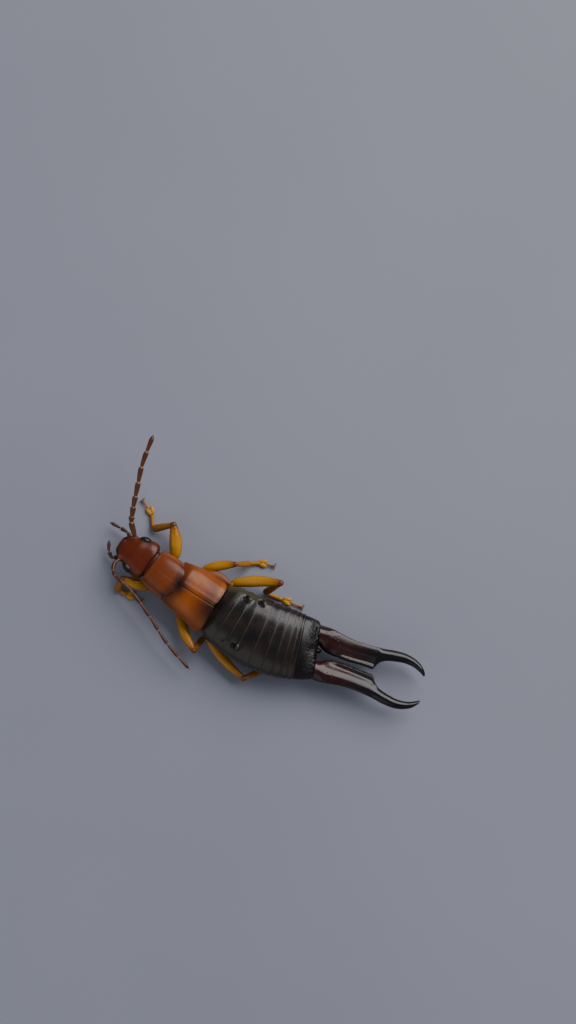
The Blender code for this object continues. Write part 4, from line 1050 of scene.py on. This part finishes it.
def makeLeg(name, root, hip, knee, ankle, toes, bow, femur, tibia):
    # hip, thigh and shin as limbs between their points, a ball for the knee, then the foot
    f, shells = legSizes, []
    root, hip, knee, ankle = (np.array(q) for q in (root, hip, knee, ankle))

    def add(grid, hair=None, **marks):
        shells.append(ringShell(grid, **marks))
        if hair:
            *sizes, dark, red = f[hair]
            shells.append(bristles(grid, *sizes, dark=dark, red=red))

    grid, t = limb(root, hip + (knee - hip) * 0.06, f["hip"], "hip")
    add(grid, dark=0.15 + 0.45 * ramp(0.75, 1, t), red=0.7)
    grid, t = limb(hip, knee, femur, "thigh", bow, 0.8, 64, 48)
    # painted shade along the edges of the thigh and a painted glow down its middle stand in for
    # light through the thin shell; its knee end darker and redder
    edgeShade = shadedEdgeMask(48) * ramp(0.02, 0.12, t)
    add(grid, "thighHair", dark=0.4 * edgeShade + 0.75 * ramp(0.84, 0.99, t),
        red=0.5 * ramp(0.6, 0.9, t), pale=0.35 * bell(t, 0.35, 0.25) * (1 - edgeShade))
    thick = min(femur * 0.3, tibia * 0.4)
    add(ballGrid(knee, (thick, thick, thick * 0.85), 0, 24, 28), dark=0.75, red=1.0)
    grid, t = limb(knee, ankle, tibia, "shin", (0, 0), 0.85, 50, 36)
    ends = 0.6 * ramp(0.14, 0.0, t) + 0.35 * ramp(0.9, 1.0, t)
    # painted shade along the edges of the shin, as on the thigh
    add(grid, "shinHair", dark=0.3 * shadedEdgeMask(36) + ends, red=0.75)
    # foot: first joint, a two-lobed one, a thin last one and two claws
    first, second, last = (np.array((*place, z)) for place, z in zip(toes, f["toeHeights"]))
    grid, t = limb((ankle[0], ankle[1], f["start"]), first, f["first"], "first", rows=32, cols=28)
    add(grid, "firstHair", red=0.35, dark=0.45 * (ramp(0.12, 0, t) + ramp(0.9, 1, t)))
    between = (first + second) / 2
    ahead = lengthOne(second - first)
    heading = math.atan2(ahead[1], ahead[0])
    across = np.array((-math.sin(heading), math.cos(heading), 0.0))
    for s in (1, -1):
        lobe = between + across * s * f["lobeGap"] - (0, 0, f["lobeDrop"])
        turn = math.degrees(heading) + f["lobeTurn"] * s
        add(ballGrid(lobe, f["lobes"], turn, 20, 24), pale=0.35, dark=0.15)
    grid, t = limb(between, last, f["last"], "last", rows=32, cols=20, sag=0.03)
    add(grid, "lastHair", red=0.6, dark=0.65 * ramp(0.5, 1, t))
    ahead = lengthOne(last - second)
    beside = np.array((-ahead[1], ahead[0], 0.0))
    base = last - ahead * 0.05
    t = np.linspace(0, 1, 22)
    thick = f["claw"] * (1 - 0.85 * t)
    for s in (1, -1):
        reach = beside * s * f["clawSpread"]
        bend = base + ahead * 0.05 + reach * 0.55 + (0, 0, 0.01)
        tip = base + ahead * 0.02 + reach - (0, 0, f["clawDrop"])
        add(tubeGrid(pathAt((base, bend, tip), t), thick, thick, 12), dark=0.8, red=0.5)
    makePiece("leg_" + name + "_limb", shells, ["leg_" + name], "leg")


for name, sizes in legs.items():
    makeLeg(name, *sizes)
print("legs made")

studio = {
    "floor": (0.265, 0.275, 0.34), "floorSize": 3.0,  # in metres, as are the lamps
    "world": (0.8, 0.84, 0.95), "worldStrength": 0.2,
    # place, size, power and colour
    "lamps": {"key": ((-0.105, -0.285, 0.29), (0.42, 0.34), 2.0, (1.0, 0.975, 0.97)),
              "fill": ((0.17, 0.36, 0.26), (0.7, 0.5), 0.5, (0.94, 0.97, 1.0))},
    "cameraAt": (1.3, 5.29, 108.81), "lens": 55.0, "right": (-0.9063, -0.4199, 0.0478),
    "up": (0.4226, -0.9005, 0.1026), "back": (0.0, 0.1132, 0.9936),
}


def makeStudio():
    half = studio["floorSize"] / 2
    corners = [(-half, -half, 0), (half, -half, 0), (half, half, 0), (-half, half, 0)]
    mesh = bpy.data.meshes.new("floor")
    mesh.from_pydata(corners, [], [(0, 1, 2, 3)])
    material, tree, shader, place = newMaterial("pale_floor")
    cloud = mapRange(tree, noise(tree, place, 30.0, 3.0), 0.3, 0.7)
    low, high = (rgba([c * share for c in studio["floor"]]) for share in (0.97, 1.03))
    feed(tree, shader, {"Base Color": mixColor(tree, cloud, low, high), "Roughness": 0.6})
    mesh.materials.append(material)
    floor = inScene("floor", mesh)
    world = bpy.data.worlds.new("studio")
    bpy.context.scene.world = world
    world.use_nodes = True
    background = world.node_tree.nodes["Background"]
    sky = {"Color": rgba(studio["world"]), "Strength": studio["worldStrength"]}
    feed(world.node_tree, background, sky)
    for name, (at, size, power, color) in studio["lamps"].items():
        light = bpy.data.lights.new(name, "AREA")
        light.shape = "RECTANGLE"
        light.size, light.size_y = size
        light.energy, light.color = power, color
        lamp = inScene(name, light)
        lamp.location = at
        lamp.rotation_mode = "QUATERNION"
        lamp.rotation_quaternion = (-Vector(at)).to_track_quat("-Z", "Y")  # looks at the origin


def makeCamera():
    camera = bpy.data.cameras.new("photoView")
    camera.lens = studio["lens"]
    camera.sensor_width = 36.0
    camera.sensor_fit = "AUTO"
    camera.clip_start = 0.001
    camera.clip_end = 20.0
    view = inScene("photoView", camera)
    at = (np.array(studio["cameraAt"]) + middle) * unit
    columns = np.column_stack([studio["right"], studio["up"], studio["back"], at])
    view.matrix_world = Matrix([*columns.tolist(), [0, 0, 0, 1]])
    bpy.context.scene.camera = view


makeStudio()
makeCamera()
print("studio made")
